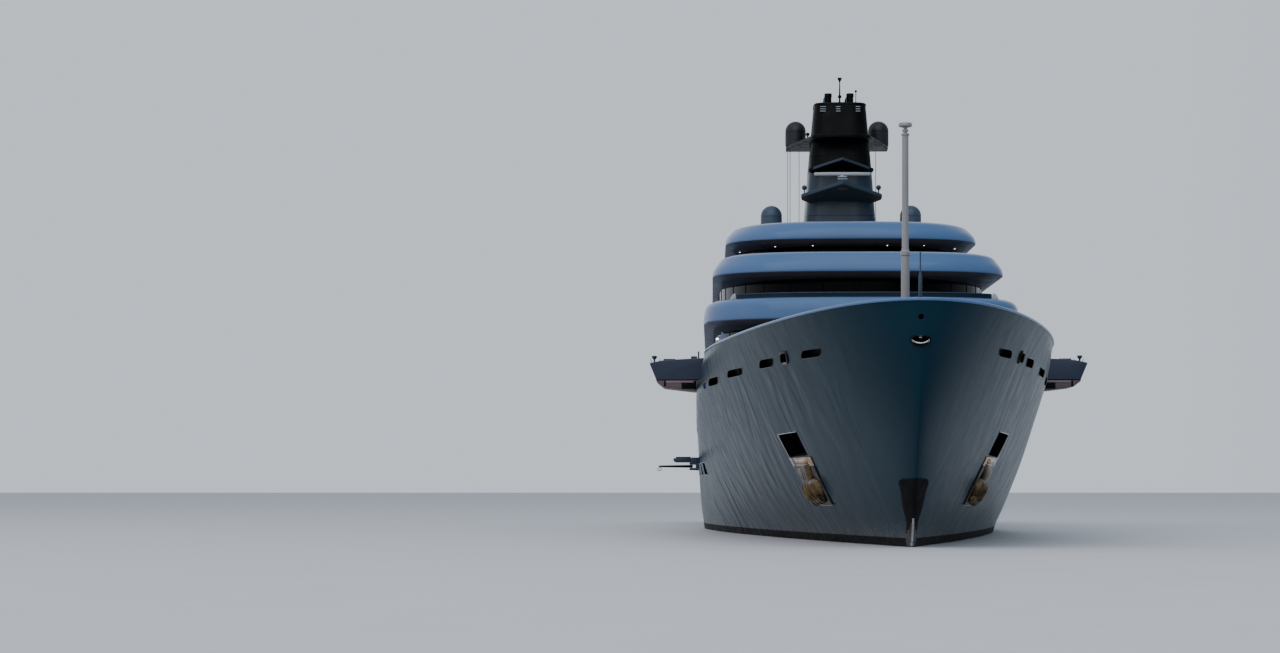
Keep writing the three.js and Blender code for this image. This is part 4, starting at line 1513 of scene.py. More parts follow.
        foot = self.guard_foot
        rows = []
        for t in spread(0, 1, 12):
            z = mix(self.guard_top, foot, t)
            front, aft = mix(*self.guard_front, t), mix(*self.guard_aft, t)
            outer = [FORM.on_side(y, z, side, 0.07) for y in spread(front, aft, 10)]
            rows.append(outer + [FORM.on_side(y, z, side, 0.005) for y in spread(aft, front, 10)])
        parts = [
            bevelled(surface(rows), 0.02, 2, 50),
            bead([(y, foot) for y in spread(-52.2, -48.2, 10)], 0.07, 0.045),
            bead([(y, 4.5) for y in spread(-51.3, -48.7, 10)], 0.02, [0.05] + [0.17] * 8 + [0.05], 20),
            bead([(mix(-48.3, -47.3, t), mix(foot, 6.0, t)) for t in spread(0, 1, 16)], 0.04, 0.028),
            bead([(y, mix(6.08, 6.0, (y + 51.7) / 4.4)) for y in spread(-51.7, -47.3, 8)], 0.03, 0.022),
        ]
        settle(
            joined(*parts), f"anchor_guard_{side.label}", Slot.STEEL, Finish.WORN, Finish.STEEL, Finish.SILL,
            replaces=[f"anchor_plate_{side.label}"], choose=pick,
        )

    def anchor(self, side: Side) -> None:
        """A stowed anchor: its shank, its folded crown and four prongs lie against the plate.

        Args:
            side: the side that it is on.
        """
        y = -49.8
        high = Vector(FORM.on_side(y, 5.5, Side.PORT, 0.08))
        low = Vector(FORM.on_side(y, 2.5, Side.PORT, 0.08))
        up = (high - low).normalized()
        along = Vector((FORM.half(y + 0.5, 4) - FORM.half(y - 0.5, 4), 1.0, 0)).normalized()
        out = along.cross(up).normalized()
        along = up.cross(out)

        def at(u: float, v: float, w: float) -> Point:
            """A place along, up and out from the anchor's foot."""
            return tuple(low + along * u + up * v + out * w)

        def slice_at(v: float, reach: float, deep: float, folds: float = 0) -> list[Point]:
            """A cross-section at a height, so wide and so deep, with folds in its face."""
            over = [
                (u, (1 - u**6) * (1 - folds * (0.5 + 0.5 * math.cos(5 * math.pi * u))))
                for u in spread(-1, 1, 31)
            ]
            back = [at(reach * 0.9, v, 0), at(-reach * 0.9, v, 0)]
            return [at(reach * u, v, 0.02 + deep * w) for u, w in over] + back

        shank = ((0.9, 0.95, 0.3), (1.4, 1.2, 0.24, 0.2), (1.7, 1.5, 0.2, 0.2), (1.95, 1.3, 0.14))
        crown = (
            (-0.1, 1.2, 0.2, 0.5), (0, 1.4, 0.34, 0.55), (0.25, 1.7, 0.42, 0.6), (0.6, 1.95, 0.46, 0.5),
            (0.9, 1.85, 0.42, 0.35), (1.08, 1.5, 0.3, 0.2), (1.14, 1.2, 0.16, 0),
        )
        parts = [surface([slice_at(*row) for row in rows]) for rows in (shank, crown)]
        prong = ((0.1, 1, 0.3, 0.32), (-0.2, 1.05, 0.22, 0.24), (-0.38, 1.1, 0.1, 0.12))
        for centre in (-1.05, -0.35, 0.35, 1.05):
            rows = []
            for v, spread_out, h, w in prong:
                c = centre * spread_out
                rows.append([at(c - h, v, 0), at(c + h, v, 0), at(c + h * 0.7, v, w), at(c - h * 0.7, v, w)])
            parts.append(bevelled(surface(rows), 0.03))
        whole = joined(*parts)
        settle(
            mirrored(whole) if side is Side.STARBOARD else whole, f"stowed_anchor_{side.label}", Slot.STEEL,
            Finish.ANCHOR, replaces=[f"anchor_{side.label}"],
        )

    def foremast(self) -> None:
        """The folding foremast, with its collars and its lamp head, and the base that it folds in."""
        y, pivot = self.mast_y, self.pivot
        heel = bevelled(block((-0.25, y - 0.25, pivot - 0.25), (0.25, y + 0.25, pivot + 0.9)), 0.05, 3)
        settle(
            joined(heel, turned(self.mast_profile, 0, y, 32)), "foremast_pole", Slot.WHITE, Finish.POLE,
            body=Body.FOREMAST, replaces=["foremast"],
        )
        base = [bevelled(block((-0.8, y - 0.8, MAIN_DECK + GAP), (0.8, y + 0.8, MAIN_DECK + 0.15)), 0.04)]
        for side in Side:
            cheek = side_block(side, (0.253, 0.373), (y - 0.4, MAIN_DECK + 0.1), (y + 0.4, pivot + 0.4))
            base.append(bevelled(cheek, 0.04, 3))
            base.append(tube([(side.value * 0.36, y, pivot), (side.value * 0.48, y, pivot)], 0.15, 20))
        settle(joined(*base), "foremast_tabernacle", Slot.WHITE, Finish.WHITE, replaces=["foremast_base"])

    def capstans(self) -> None:
        """The two capstans, each with a chain stopper and its chain ahead of it."""
        x, y = self.capstan
        z = MAIN_DECK + GAP
        waist = curve_through([(0.62, 0.3), (0.4, 0.42), (0.3, 0.7), (0.36, 1.0), (0.5, 1.2)], 5)
        section = [(0, 0), (0.62, 0), *waist, (0.5, 1.3), (0.2, 1.35), (0, 1.35)]
        profile = [(r, z + up) for r, up in section]
        for side in Side:
            centre = side.value * x
            stopper = block((centre - 0.42, y - 3.2, z), (centre + 0.42, y - 1.0, z + 0.16))
            jaw = block((centre - 0.3, y - 2.6, z + 0.1), (centre + 0.3, y - 2.1, z + 0.4))
            parts = [turned(profile, centre, y), bevelled(stopper, 0.04), bevelled(jaw, 0.06, 3)]
            for k in range(12):
                flat, high = (0.1, 0) if k % 2 else (0, 0.1)
                middle = Vector((centre, y - 0.9 - 0.19 * k, z + 0.24))
                link = [
                    middle + Vector((flat * math.cos(a), 0.16 * math.sin(a), high * math.cos(a)))
                    for a in angles(10)
                ]
                parts.append(tube(link, 0.035, 6, looped=True))
            settle(
                joined(*parts), f"anchor_capstan_{side.label}", Slot.STEEL, Finish.STEEL,
                replaces=[f"capstan_{side.label}"],
            )

    def jackstaff(self) -> None:
        """The jackstaff on the stem head, with its thick foot."""
        z, top = FORM.full_sheer(self.staff_y), self.staff_top
        profile = [
            (0, z + 0.02), (0.16, z + 0.02), (0.16, z + 0.12), (0.09, z + 0.16), (0.085, z + 1.3),
            (0.06, z + 1.36), (0.036, z + 1.45), (0.03, top - 0.1), (0.05, top - 0.06), (0, top),
        ]
        staff = turned(profile, 0, self.staff_y, 20)
        settle(staff, "jack_pole", Slot.BLACK, Finish.SLATE, replaces=["jackstaff"])

    def build(self) -> None:
        """Builds the bow's pieces."""
        self.stem_plate()
        self.fairlead()
        for side in Side:
            self.anchor_plate(side)
            self.anchor(side)
        self.foremast()
        self.capstans()
        self.jackstaff()


# The superstructure.


@dataclass(frozen=True)
class Plan:
    """A tier's outline from above: a blunt rounded front, straight sides and a rounded stern."""

    front: float
    aft: float
    half: float
    front_length: float
    aft_length: float
    power: float = 2.6
    aft_power: float = 3.2
    top_length: float | None = None

    def ring(self, inset: float, z: float, steps: int = 30, rise: float = 0) -> list[Point]:
        """The outline at one height.

        Args:
            inset: how far it is moved inwards.
            z: the height.
            steps: how many stretches each corner gets.
            rise: 0 at a fascia's lip, up to 1 at its top.

        Returns:
            The outline's points, from the front round by port.
        """
        front_length = mix(self.front_length, self.top_length or self.front_length, rise)

        def quarter(length: float, power: float, k: int) -> Pair:
            """A point of a rounded end: its x, and how far it is from where the end starts."""
            angle, reach = math.pi / 2 * k / steps, 2 / power
            along = (length - inset) * max(0, math.cos(angle)) ** reach
            return (self.half - inset) * math.sin(angle) ** reach, along

        port = []
        for k in range(steps + 1):
            x, run = quarter(front_length, self.power, k)
            port.append((x, self.front + front_length - run, z))
        for k in range(steps, -1, -1):
            x, run = quarter(self.aft_length, self.aft_power, k)
            port.append((x, self.aft - self.aft_length + run, z))
        return port + [(-x, y, height) for x, y, height in reversed(port[1:-1])]

    def front_arc(self, inset: float, z: float, reach: float, count: int) -> list[Point]:
        """Points round the front of a fascia's top.

        Args:
            inset: how far they are moved inwards.
            z: their height.
            reach: how far they go to each side.
            count: how many there are.

        Returns:
            Evenly spread points, from starboard to port.
        """
        port = self.ring(inset, z, 60, 1)[:61]
        line = [(-x, y, h) for x, y, h in reversed(port[1:])] + port
        return evenly([p for p in line if abs(p[0]) <= reach], count)


def evenly(line: Sequence[Point], count: int) -> list[Point]:
    """Points at even distances along a line.

    Args:
        line: the line's points.
        count: how many points are wanted.

    Returns:
        The points, with both ends.
    """
    lengths = [0.0]
    for a, b in zip(line, line[1:]):
        lengths.append(lengths[-1] + math.dist(a, b))
    made, i = [], 0
    for k in range(count):
        target = lengths[-1] * k / (count - 1)
        while i < len(lengths) - 2 and lengths[i + 1] < target:
            i += 1
        t = clamp((target - lengths[i]) / max(1e-9, lengths[i + 1] - lengths[i]), 0, 1)
        made.append(tuple(mix(a, b, t) for a, b in zip(line[i], line[i + 1])))
    return made


@dataclass(frozen=True)
class Tier:
    """A deck with a rounded fascia, widest at its lip, that leans in to the crown at the coaming's top."""

    name: str
    plan: Plan
    soffit: float
    lip: float
    floor: float
    top: float
    low: float
    mid: float
    crown: float

    def deck(self) -> Shape:
        """The deck with its soffit, fascia, coaming and floor.

        Returns:
            The solid.
        """
        bulge, crown, top = self.top - self.lip, self.crown, self.top
        fascia = curve_through(
            [
                (0.12, self.lip - 0.06, 0), (0, self.lip + 0.05, 0), (self.low, self.lip + 0.35 * bulge, 0.2),
                (self.mid, self.lip + 0.7 * bulge, 0.5),
                (mix(self.mid, crown, 0.4), self.lip + 0.9 * bulge, 0.75), (crown, top, 1),
            ],
            4,
        )
        profile = [
            (3, self.soffit, 0), (0.72, self.soffit, 0), (0.66, self.soffit + 0.01, 0), *fascia,
            (crown + 0.1, top + 0.01, 1), (crown + 0.2, top, 1), (crown + 0.22, top - 0.03, 1),
            (crown + 0.3, self.floor, 1),
        ]
        return surface([self.plan.ring(inset, z, rise=rise) for inset, z, rise in profile])


@dataclass(frozen=True)
class House:
    """A deckhouse: a painted sill under a band of dark glass."""

    name: str
    plan: Plan
    floor: float
    sill: float
    soffit: float
    thick: float = 0.25

    def wall(self, low: float, high: float) -> Shape:
        """A ring of wall between two heights."""
        corners = ((0, low), (0, high), (self.thick, high), (self.thick, low))
        return surface([self.plan.ring(inset, z) for inset, z in corners], looped=True)


TIERS = (
    Tier("upper", Plan(-17.8, 48, 10.7, 9, 7, 3), 13.9, 14.15, 14.6, 15.6, 0.02, 0.12, 0.62),
    Tier(
        "bridge", Plan(-11.6, 40, 10.1, 7.5, 7, 3, top_length=8.5), 17.45, 17.7, 18.05, 19.08, 0.1, 0.42, 0.95
    ),
    Tier("top", Plan(-0.6, 34, 9.15, 7.5, 7, 3, top_length=11), 20.55, 20.8, 21.6, 22.1, 0.06, 0.35, 0.95),
)
HOUSES = (
    House("main", Plan(-13, 30.7, 9.9, 16, 3, 2.5, 5), MAIN_DECK, 11.5, 13.9),
    House("upper", Plan(-8, 33, 9.6, 17, 3, 2.5, 5), 14.6, 15.3, 17.45),
    House("bridge", Plan(3, 30, 8.65, 14, 3, 2.5, 5), 18.05, 18.7, 20.55),
)


@dataclass
class Superstructure:
    """The tiers, deckhouses, glass, lights, windscreen, rails and pillars."""

    light_places: tuple[Pair, ...] = (
        (-8.05, 8.2), (-5.55, 3.0), (-2.85, 2.2), (2.5, 2.2), (5.16, 2.2), (7.6, 5.3)
    )
    light_radius: float = 0.066
    screen_high: float = 0.32
    mullion_pitch: float = 2.4

    def tier(self, tier: Tier) -> None:
        """A tier's deck, with planks inside its coaming and painted shade on the faces that look down."""
        settle(
            tier.deck(), f"tier_{tier.name}", Slot.WHITE, Finish.WHITE, Finish.TEAK, Finish.SOFFIT,
            replaces=[f"deck_{tier.name}"], angle=38, choose=planked(tier.floor, 2),
        )

    def soffit_lights(self, tier: Tier) -> None:
        """Downlights in the soffit over the front of a deck.

        Args:
            tier: the tier whose soffit it is.
        """
        z, r = tier.soffit, self.light_radius
        rim = [(r, z), (r + 0.05, z), (r + 0.05, z - 0.03), (r, z - 0.04)]
        lens = [(0, z), (r, z), (r, z - 0.02), (r * 0.6, z - 0.05), (0, z - 0.06)]
        rims, lenses = ([turned(part, x, y, 16) for x, y in self.light_places] for part in (rim, lens))
        settle(joined(*rims), f"downlight_rims_{tier.name}", Slot.STEEL, Finish.STEEL)
        settle(joined(*lenses), f"downlights_{tier.name}", Slot.WHITE, Finish.LAMP)

    def side_lamp(self) -> None:
        """The lamp on its slim post beside the main deckhouse, to starboard."""
        column = bevelled(block((-9.52, -17.6, MAIN_DECK + GAP), (-9.38, -17.46, 13.25)), 0.02)
        arm = block((-9.8, -17.58, 12.9), (-9.45, -17.48, 12.98))
        settle(joined(column, arm), "side_lamp_post", Slot.WHITE, Finish.WHITE)
        settle(ball((-9.78, -17.53, 12.82), (0.08, 0.08, 0.06)), "side_lamp", Slot.WHITE, Finish.LAMP)

    def windscreen(self, tier: Tier, reach: float) -> None:
        """A low screen of glass on the front of a coaming, with a rail on top.

        Args:
            tier: the tier that it stands on.
            reach: how far it goes to each side.
        """
        base = tier.top - 0.02
        head = base + self.screen_high
        line = tier.plan.front_arc(tier.crown + 0.12, base, reach, 60)
        inner = tier.plan.front_arc(tier.crown + 0.18, base, reach, 60)
        rows = [[a, b, (b[0], b[1], head), (a[0], a[1], head)] for a, b in zip(line, inner)]
        settle(surface(rows), f"windscreen_{tier.name}", Slot.GLASS, Finish.WINDSCREEN)
        rail = tube([(x, y, head) for x, y, _ in evenly(line, 48)], 0.035, 8)
        settle(rail, f"windscreen_rail_{tier.name}", Slot.STEEL, Finish.SLATE)

    def fins(self) -> None:
        """The two small fins that end the upper deck's windscreen."""
        tier = TIERS[0]
        shape = curve_through(
            [(-0.3, 0), (-0.2, 0.24), (-0.03, 0.42), (0.08, 0.4), (0.11, 0.2), (0.14, 0)], 4
        )
        ends = tier.plan.front_arc(0.75, tier.top, 8.65, 2)
        fins = []
        for side, (x, y, _) in zip(Side, reversed(ends)):
            outline = [(x - side.value * u, tier.top - 0.05 + v) for u, v in shape]
            fins.append(bevelled(prism(outline, "Y", y - 0.12, y + 0.12), 0.03, 2))
        settle(joined(*fins), "windscreen_fins", Slot.WHITE, Finish.PALE)

    def house(self, house: House) -> None:
        """A deckhouse's sill and glass, with the slim bars between the panes.

        Args:
            house: the deckhouse.
        """
        for name, node, low, high, slot, finish in (
            ("sill", "deckhouse", house.floor + GAP, house.sill, Slot.WHITE, Finish.SLATE),
            ("panes", "glass", house.sill + GAP, house.soffit - GAP, Slot.GLASS, Finish.GLASS),
        ):
            label = house.name
            settle(house.wall(low, high), f"{name}_{label}", slot, finish, replaces=[f"{node}_{label}"])
        ring = house.plan.ring(-0.01, house.sill)
        ring.append(ring[0])
        length = sum(math.dist(a, b) for a, b in zip(ring, ring[1:]))
        spots = evenly(ring, int(length / self.mullion_pitch))[:-1]
        bars = [post((x, y), house.sill + 0.02, house.soffit - 0.02, 0.03, 6) for x, y, _ in spots]
        settle(joined(*bars), f"mullions_{house.name}", Slot.BLACK, Finish.BLACK)

    def aft_rail(self, name: str, plan: Plan, base: float, inset: float, start: float) -> None:
        """A three-bar rail on a coaming round the stern of a deck.

        Args:
            name: the deck's name.
            plan: the deck's outline.
            base: the coaming's height.
            inset: how far inside the outline the rail stands.
            start: where its ends are.
        """
        ring = plan.ring(inset, base, rise=1)
        port = [p for p in ring[: len(ring) // 2 + 1] if p[1] > start]
        line = port + [(-x, y, z) for x, y, z in reversed(port[:-1])]
        bars = [
            tube([(x, y, z + up) for x, y, z in evenly(line, 70)], r, 6)
            for up, r in ((0.55, 0.035), (0.37, 0.015), (0.19, 0.015))
        ]
        posts = [post((x, y), z, z + 0.55, 0.025, 6) for x, y, z in evenly(line, 25)]
        settle(joined(*bars, *posts), f"aft_rail_{name}", Slot.STEEL, Finish.STEEL)

    def aft_deck(self) -> None:
        """The main deck's overhang, with its rail, and the saloon glass under it."""
        outline = Plan(30 + GAP, 47, 9.9, 0.05, 6, 8, 3.2)
        edge = ((0.6, 10.1), (0.35, 10.11), (0.06, 10.24), (0, 10.32), (0, MAIN_DECK))
        slab = surface([outline.ring(inset, z) for inset, z in edge])
        section = (
            (0.02, 10.5), (0.02, 10.7), (0.08, 11.05), (0.15, 11.26), (0.22, 11.3), (0.31, 11.3),
            (0.35, 11.26), (0.35, 10.5),
        )
        coaming = surface([outline.ring(inset, z) for inset, z in section], looped=True)
        united(slab, cut(coaming, block((-14, 0, 0), (14, 31, 20))))
        settle(
            slab, "overhang_main", Slot.WHITE, Finish.WHITE, Finish.TEAK, replaces=["deck_main_aft"],
            choose=planked(MAIN_DECK),
        )
        saloon = House("saloon", Plan(30 + GAP, 42, 8.6, 0.4, 3, 8, 5), AFT_DECK, AFT_DECK, 10.1)
        wall = saloon.wall(saloon.floor + GAP, saloon.soffit - GAP)
        settle(wall, "panes_saloon", Slot.GLASS, Finish.GLASS, replaces=["glass_saloon"])
        self.aft_rail("main", outline, 11.3, 0.27, 31.5)


    def columns(self) -> None:
        """The oval pillars on the aft deck and on the main deck, with a collar at each end."""
        for name, x, y, low, high in (
            ("main", 7.6, 44.6, AFT_DECK, 10.1), ("upper", 7.6, 44.2, MAIN_DECK, 13.9)
        ):
            section = (
                (low + GAP, 1.0), (low + 0.12, 1.0), (low + 0.16, 0.82), (high - 0.16, 0.82),
                (high - 0.12, 1.0), (high - GAP, 1.0),
            )
            for side in Side:
                middle = side.value * x
                rows = [
                    [(middle + 0.13 * w * math.cos(a), y + 0.29 * w * math.sin(a), z) for a in angles(28)]
                    for z, w in section
                ]
                settle(
                    surface(rows), f"column_{name}_{side.label}", Slot.STEEL, Finish.STEEL,
                    replaces=[f"pillar_{name}_{side.label}"],
                )

    def build(self) -> None:
        """Builds the superstructure's pieces."""
        for tier in TIERS:
            self.tier(tier)
        self.soffit_lights(TIERS[-1])
        self.side_lamp()
        for house in HOUSES:
            self.house(house)
        self.windscreen(TIERS[0], 8.5)
        self.fins()
        for tier in TIERS:
            self.aft_rail(tier.name, tier.plan, tier.top, tier.crown + 0.12, tier.plan.aft - 8)
        self.aft_deck()
        self.columns()


# The mast.


@dataclass(frozen=True)
class TowerSection:
    """The tower's outline at one height."""

    z: float
    half: float
    front: float
    aft: float


@dataclass
class Mast:
    """The tower, funnel, platforms, domes, radar and what stands on them."""

    sections: tuple[TowerSection, ...] = (
        TowerSection(21.603, 2.95, 21.4, 31),
        TowerSection(28, 2.48, 22.1, 30.2),
        TowerSection(33.48, 2.03, 22.9, 28.4),
    )
    split: float = 28
    well: float = 31.2
    radar_y: float = 19.4

    def ring(self, z: float, grow: float = 0) -> list[Point]:
        """The tower's outline.

        Args:
            z: its height.
            grow: how far it is moved outwards.

        Returns:
            The outline's points.
        """
        low, high = self.sections[1:] if z > self.split else self.sections[:2]
        t = (z - low.z) / (high.z - low.z)
        half, front, aft = (mix(getattr(low, n), getattr(high, n), t) for n in ("half", "front", "aft"))
        return Plan(front - grow, aft + grow, half + grow, 1.6, 2.4, 3.4, 2.6).ring(0, z, 12)

    def tower(self) -> None:
        """The painted lower part, with its panel seam."""
        section = (
            (21.603, 0), (21.75, 0), (24.4, 0), (24.42, -0.03), (24.46, -0.03), (24.48, 0), (27.9, 0),
            (27.98, 0),
        )
        rows = [self.ring(z, grow) for z, grow in section]
        settle(surface(rows), "tower", Slot.WHITE, Finish.SLATE, replaces=["mast_tower"], angle=28)

    def funnel(self) -> None:
        """The black funnel: a thin rim, a well, slots with pale vanes, and two grooves."""
        section = ((28.003, 0), (28.1, 0), (33.3, 0), (33.33, 0.04), (33.44, 0.04), (33.48, 0))
        shell = surface([self.ring(z, grow) for z, grow in section])
        cut(shell, surface([self.ring(z, -0.25) for z in (self.well, 33.6)]))
        vanes = []
        for low, high in ((-1.6, -1.15), (-0.36, 0.0), (1.2, 1.56)):
            for z in (32.72, 32.9, 33.08):
                cut(shell, block((low, 20, z), (high, 32, z + 0.1)))
                ring = self.ring(z)
                y = max(ring[0][1], min(point[1] for point in ring if abs(point[0]) < abs(high) + 0.3))
                vanes.append(block((low + 0.003, y + 0.03, z + 0.025), (high - 0.003, y + 0.5, z + 0.075)))
        settle(joined(*vanes), "funnel_vanes", Slot.WHITE, Finish.PALE)
        for z in (29.2, 30.3):
            groove = ((z, 0.2), (z + 0.04, 0.2), (z + 0.04, -0.03), (z, -0.03))
            cut(shell, surface([self.ring(height, grow) for height, grow in groove], looped=True))
        settle(shell, "funnel_casing", Slot.BLACK, Finish.BLACK, replaces=["funnel"], angle=28)

    def exhausts(self) -> None:
        """The exhaust pipes, each with a thick lip and a slanted plate beside its mouth."""
        z = self.well + GAP
        profile = [
            (0.27, z), (0.27, 34.2), (0.3, 34.23), (0.3, 34.48), (0.27, 34.5), (0.22, 34.5), (0.22, 33.6),
            (0, 33.6),
        ]
        for side in Side:
            x = 0.87 * side.value
            lean = 0.3 if side is Side.PORT else 0.12
            outline = [(x - 0.3 - lean, 33.3), (x - 0.29, 33.3), (x - 0.28, 34.25), (x - 0.38, 34.1)]
            plate = bevelled(prism(outline, "Y", 25.4, 25.8), 0.02)
            settle(
                joined(turned(profile, x, 25.6, 28), plate), f"exhaust_pipe_{side.label}", Slot.BLACK,
                Finish.BLACK, replaces=[f"exhaust_{side.label}"],
            )

    def antenna(self) -> None:
        """The mast head aerial with its ball, and a thin whip beside it."""
        z = self.well + GAP
        knob = curve_through([(0.06, 33.95), (0.14, 34.04), (0.15, 34.12), (0.06, 34.24)], 4)
        aerial = [
            (0, z), (0.22, z), (0.2, 33.5), (0.16, 33.62), (0.07, 33.7), *knob, (0.04, 35.2), (0.06, 35.3),
            (0.17, 35.5), (0.17, 35.6), (0, 35.62),
        ]
        whip = [
            (0.05, z), (0.05, 33.6), (0.032, 33.65), (0.028, 34.46), (0.09, 34.5), (0.09, 34.62), (0, 34.64)
        ]
        settle(
            joined(turned(aerial, 0, 24.4, 24), turned(whip, 1.29, 24.6, 12)), "aerials", Slot.BLACK,
            Finish.BLACK, replaces=["antenna"],
        )

    def plate(self, outline: Sequence[Pair], root: float, low: float, thick: float, rise: float) -> Shape:
        """A platform that rises towards its point, cut to fit round the tower.

        Args:
            outline: its port half, as pairs of x and y from the point aft.
            root: where it starts to rise.
            low: its underside's height there.
            thick: how thick it is.
            rise: how much it rises for each metre forwards.

        Returns:
            The solid.
        """
        both = list(outline) + [(-x, y) for x, y in reversed(outline) if x > 0]
        rows = [[(x, y, z + rise * max(0, root - y)) for x, y in both] for z in (low, low + thick)]
        made = bevelled(surface(rows), 0.05, 3, 30)
        towers = ((21.7, 28), (28.001, 33.4))
        return cut(made, *(surface([self.ring(z, 0.01) for z in heights]) for heights in towers))

    def platforms(self) -> None:
        """The radar, beak and dome platforms, with what stands on them."""
        self.radar_platform()
        chevron = curve_through([(0, 19.2), (1.3, 20.35), (2.4, 21.4), (2.5, 21.55)], 4)
        beak = [self.plate(chevron + [(2.5, 21.8), (1.7, 23.4)], 22, 27.78, 0.2, 0.27)]
        beak += [ball((side.value * 2.42, 21.55, 28.02), (0.13, 0.13, 0.1)) for side in Side]
        # Painted shade: the beak's faces that look down are black; the balls at its ends are black too.
        settle(
            joined(*beak), "beak", Slot.WHITE, Finish.SLATE, Finish.BLACK, replaces=["beak_platform"],
            choose=lambda centre, normal: 1 if normal.z < -0.5 or abs(centre.x) > 2.3 else 0,
        )
        wide = curve_through([(0, 20.6), (1.3, 20.8), (2.26, 21.5)], 4)
        wide += curve_through([(2.4, 22.2), (3.8, 28.1), (4.12, 29.5)], 4) + [(4.12, 31)]
        dome = [self.plate(wide, 20, 30.45, 0.28, 0), post((-2.57, 23.4), 30.6, 30.95, 0.05, 8)]
        dome.append(ball((-2.57, 23.4, 31.0), (0.15, 0.15, 0.15)))
        settle(joined(*dome), "dome_deck", Slot.BLACK, Finish.BLACK, replaces=["dome_platform"])


    def radar_platform(self) -> None:
        """The radar's platform, with the radar's pedestal and two knobs on posts."""
        y = self.radar_y
        outline = curve_through([(0, 18.2), (1.5, 19.4), (3.0, 20.66), (3.15, 20.9)], 4)
        parts = [
            self.plate(outline + [(3.1, 21.3), (2.2, 22.6)], 22, 25.38, 0.28, 0.31),
            bevelled(block((-0.37, y - 0.37, 26.2), (0.37, y + 0.37, 27.25)), 0.05, 3),
            bevelled(block((-0.4, y - 0.4, 27.0), (0.4, y + 0.4, 27.06)), 0.02, 2),
        ]
        foot = [(0, 25.95), (0.24, 25.95), (0.24, 26.02), (0.08, 26.1), (0, 26.1)]
        for side in Side:
            x = side.value * 2.9
            parts += [post((x, 21), 25.8, 26.4, 0.05), ball((x, 21, 26.55), (0.2, 0.2, 0.2))]
            parts.append(turned(foot, x, 21, 20))

        def pick(centre: Vector, normal: Vector) -> int:
            """Pale on the pedestal's head."""
            return 1 if max(abs(centre.x), abs(centre.y - y)) < 0.4 and centre.z > 26.85 else 0

        settle(
            joined(*parts), "radar_deck", Slot.WHITE, Finish.SLATE, Finish.PALE, replaces=["radar_platform"],
            choose=pick,
        )

    def domes(self) -> None:
        """Satellite domes: straight sides under a round top, with a seam."""
        for name, node, x, y, foot, centre, finish in (
            ("mast_radome", "mast_dome", 3.35, 29.8, 30.733, 31.95, Finish.DARK_DOME),
            ("roof_radome", "roof_dome", 5.46, 22, 21.603, 24.4, Finish.DOME),
        ):
            cap = [(0.83 * math.cos(a), centre + 0.83 * math.sin(a)) for a in spread(0, math.pi / 2, 14)]
            profile = [
                (0, foot), (0.77, foot), (0.83, foot + 0.06), (0.83, centre - 0.08), (0.805, centre - 0.07),
                (0.805, centre - 0.03), (0.83, centre - 0.02), *cap,
            ]
            for side in Side:
                settle(
                    turned(profile, side.value * x, y, 44), f"{name}_{side.label}", Slot.DOME, finish,
                    replaces=[f"{node}_{side.label}"],
                )

    def radar(self) -> None:
        """The turning radar scanner: a slim bar with a domed hub."""
        y = self.radar_y
        rows = [
            [(x, y + deep * math.cos(a), 27.45 + high * math.sin(a)) for a in angles(16)]
            for x, deep, high in (
                (-2.2, 0.04, 0.08), (-2.12, 0.08, 0.13), (-1, 0.12, 0.15), (0, 0.17, 0.15), (1, 0.12, 0.15),
                (2.12, 0.08, 0.13), (2.2, 0.04, 0.08),
            )
        ]
        hub = turned([(0, 27.253), (0.2, 27.253), (0.2, 27.34), (0.12, 27.4), (0, 27.4)], 0, y, 24)
        settle(
            joined(surface(rows), hub), "scanner", Slot.WHITE, Finish.PALE, body=Body.RADAR,
            replaces=["radar_scanner"],
        )

    def halyards(self) -> None:
        """The taut signal halyards from the platforms to the top deck."""
        places = ((-4.0, 29.3), (-3.82, 28.6), (-3.17, 26), (2.83, 24))
        lines = [tube([(*place, 30.5), (*place, 21.62)], 0.022, 6) for place in places]
        settle(joined(*lines), "signal_halyards", Slot.BLACK, Finish.ROPE)

    def build(self) -> None:
        """Builds the mast's pieces."""
        self.tower()
        self.funnel()
        self.exhausts()
        self.antenna()
        self.platforms()
        self.domes()
        self.radar()
        self.halyards()


# What hangs on the sides.


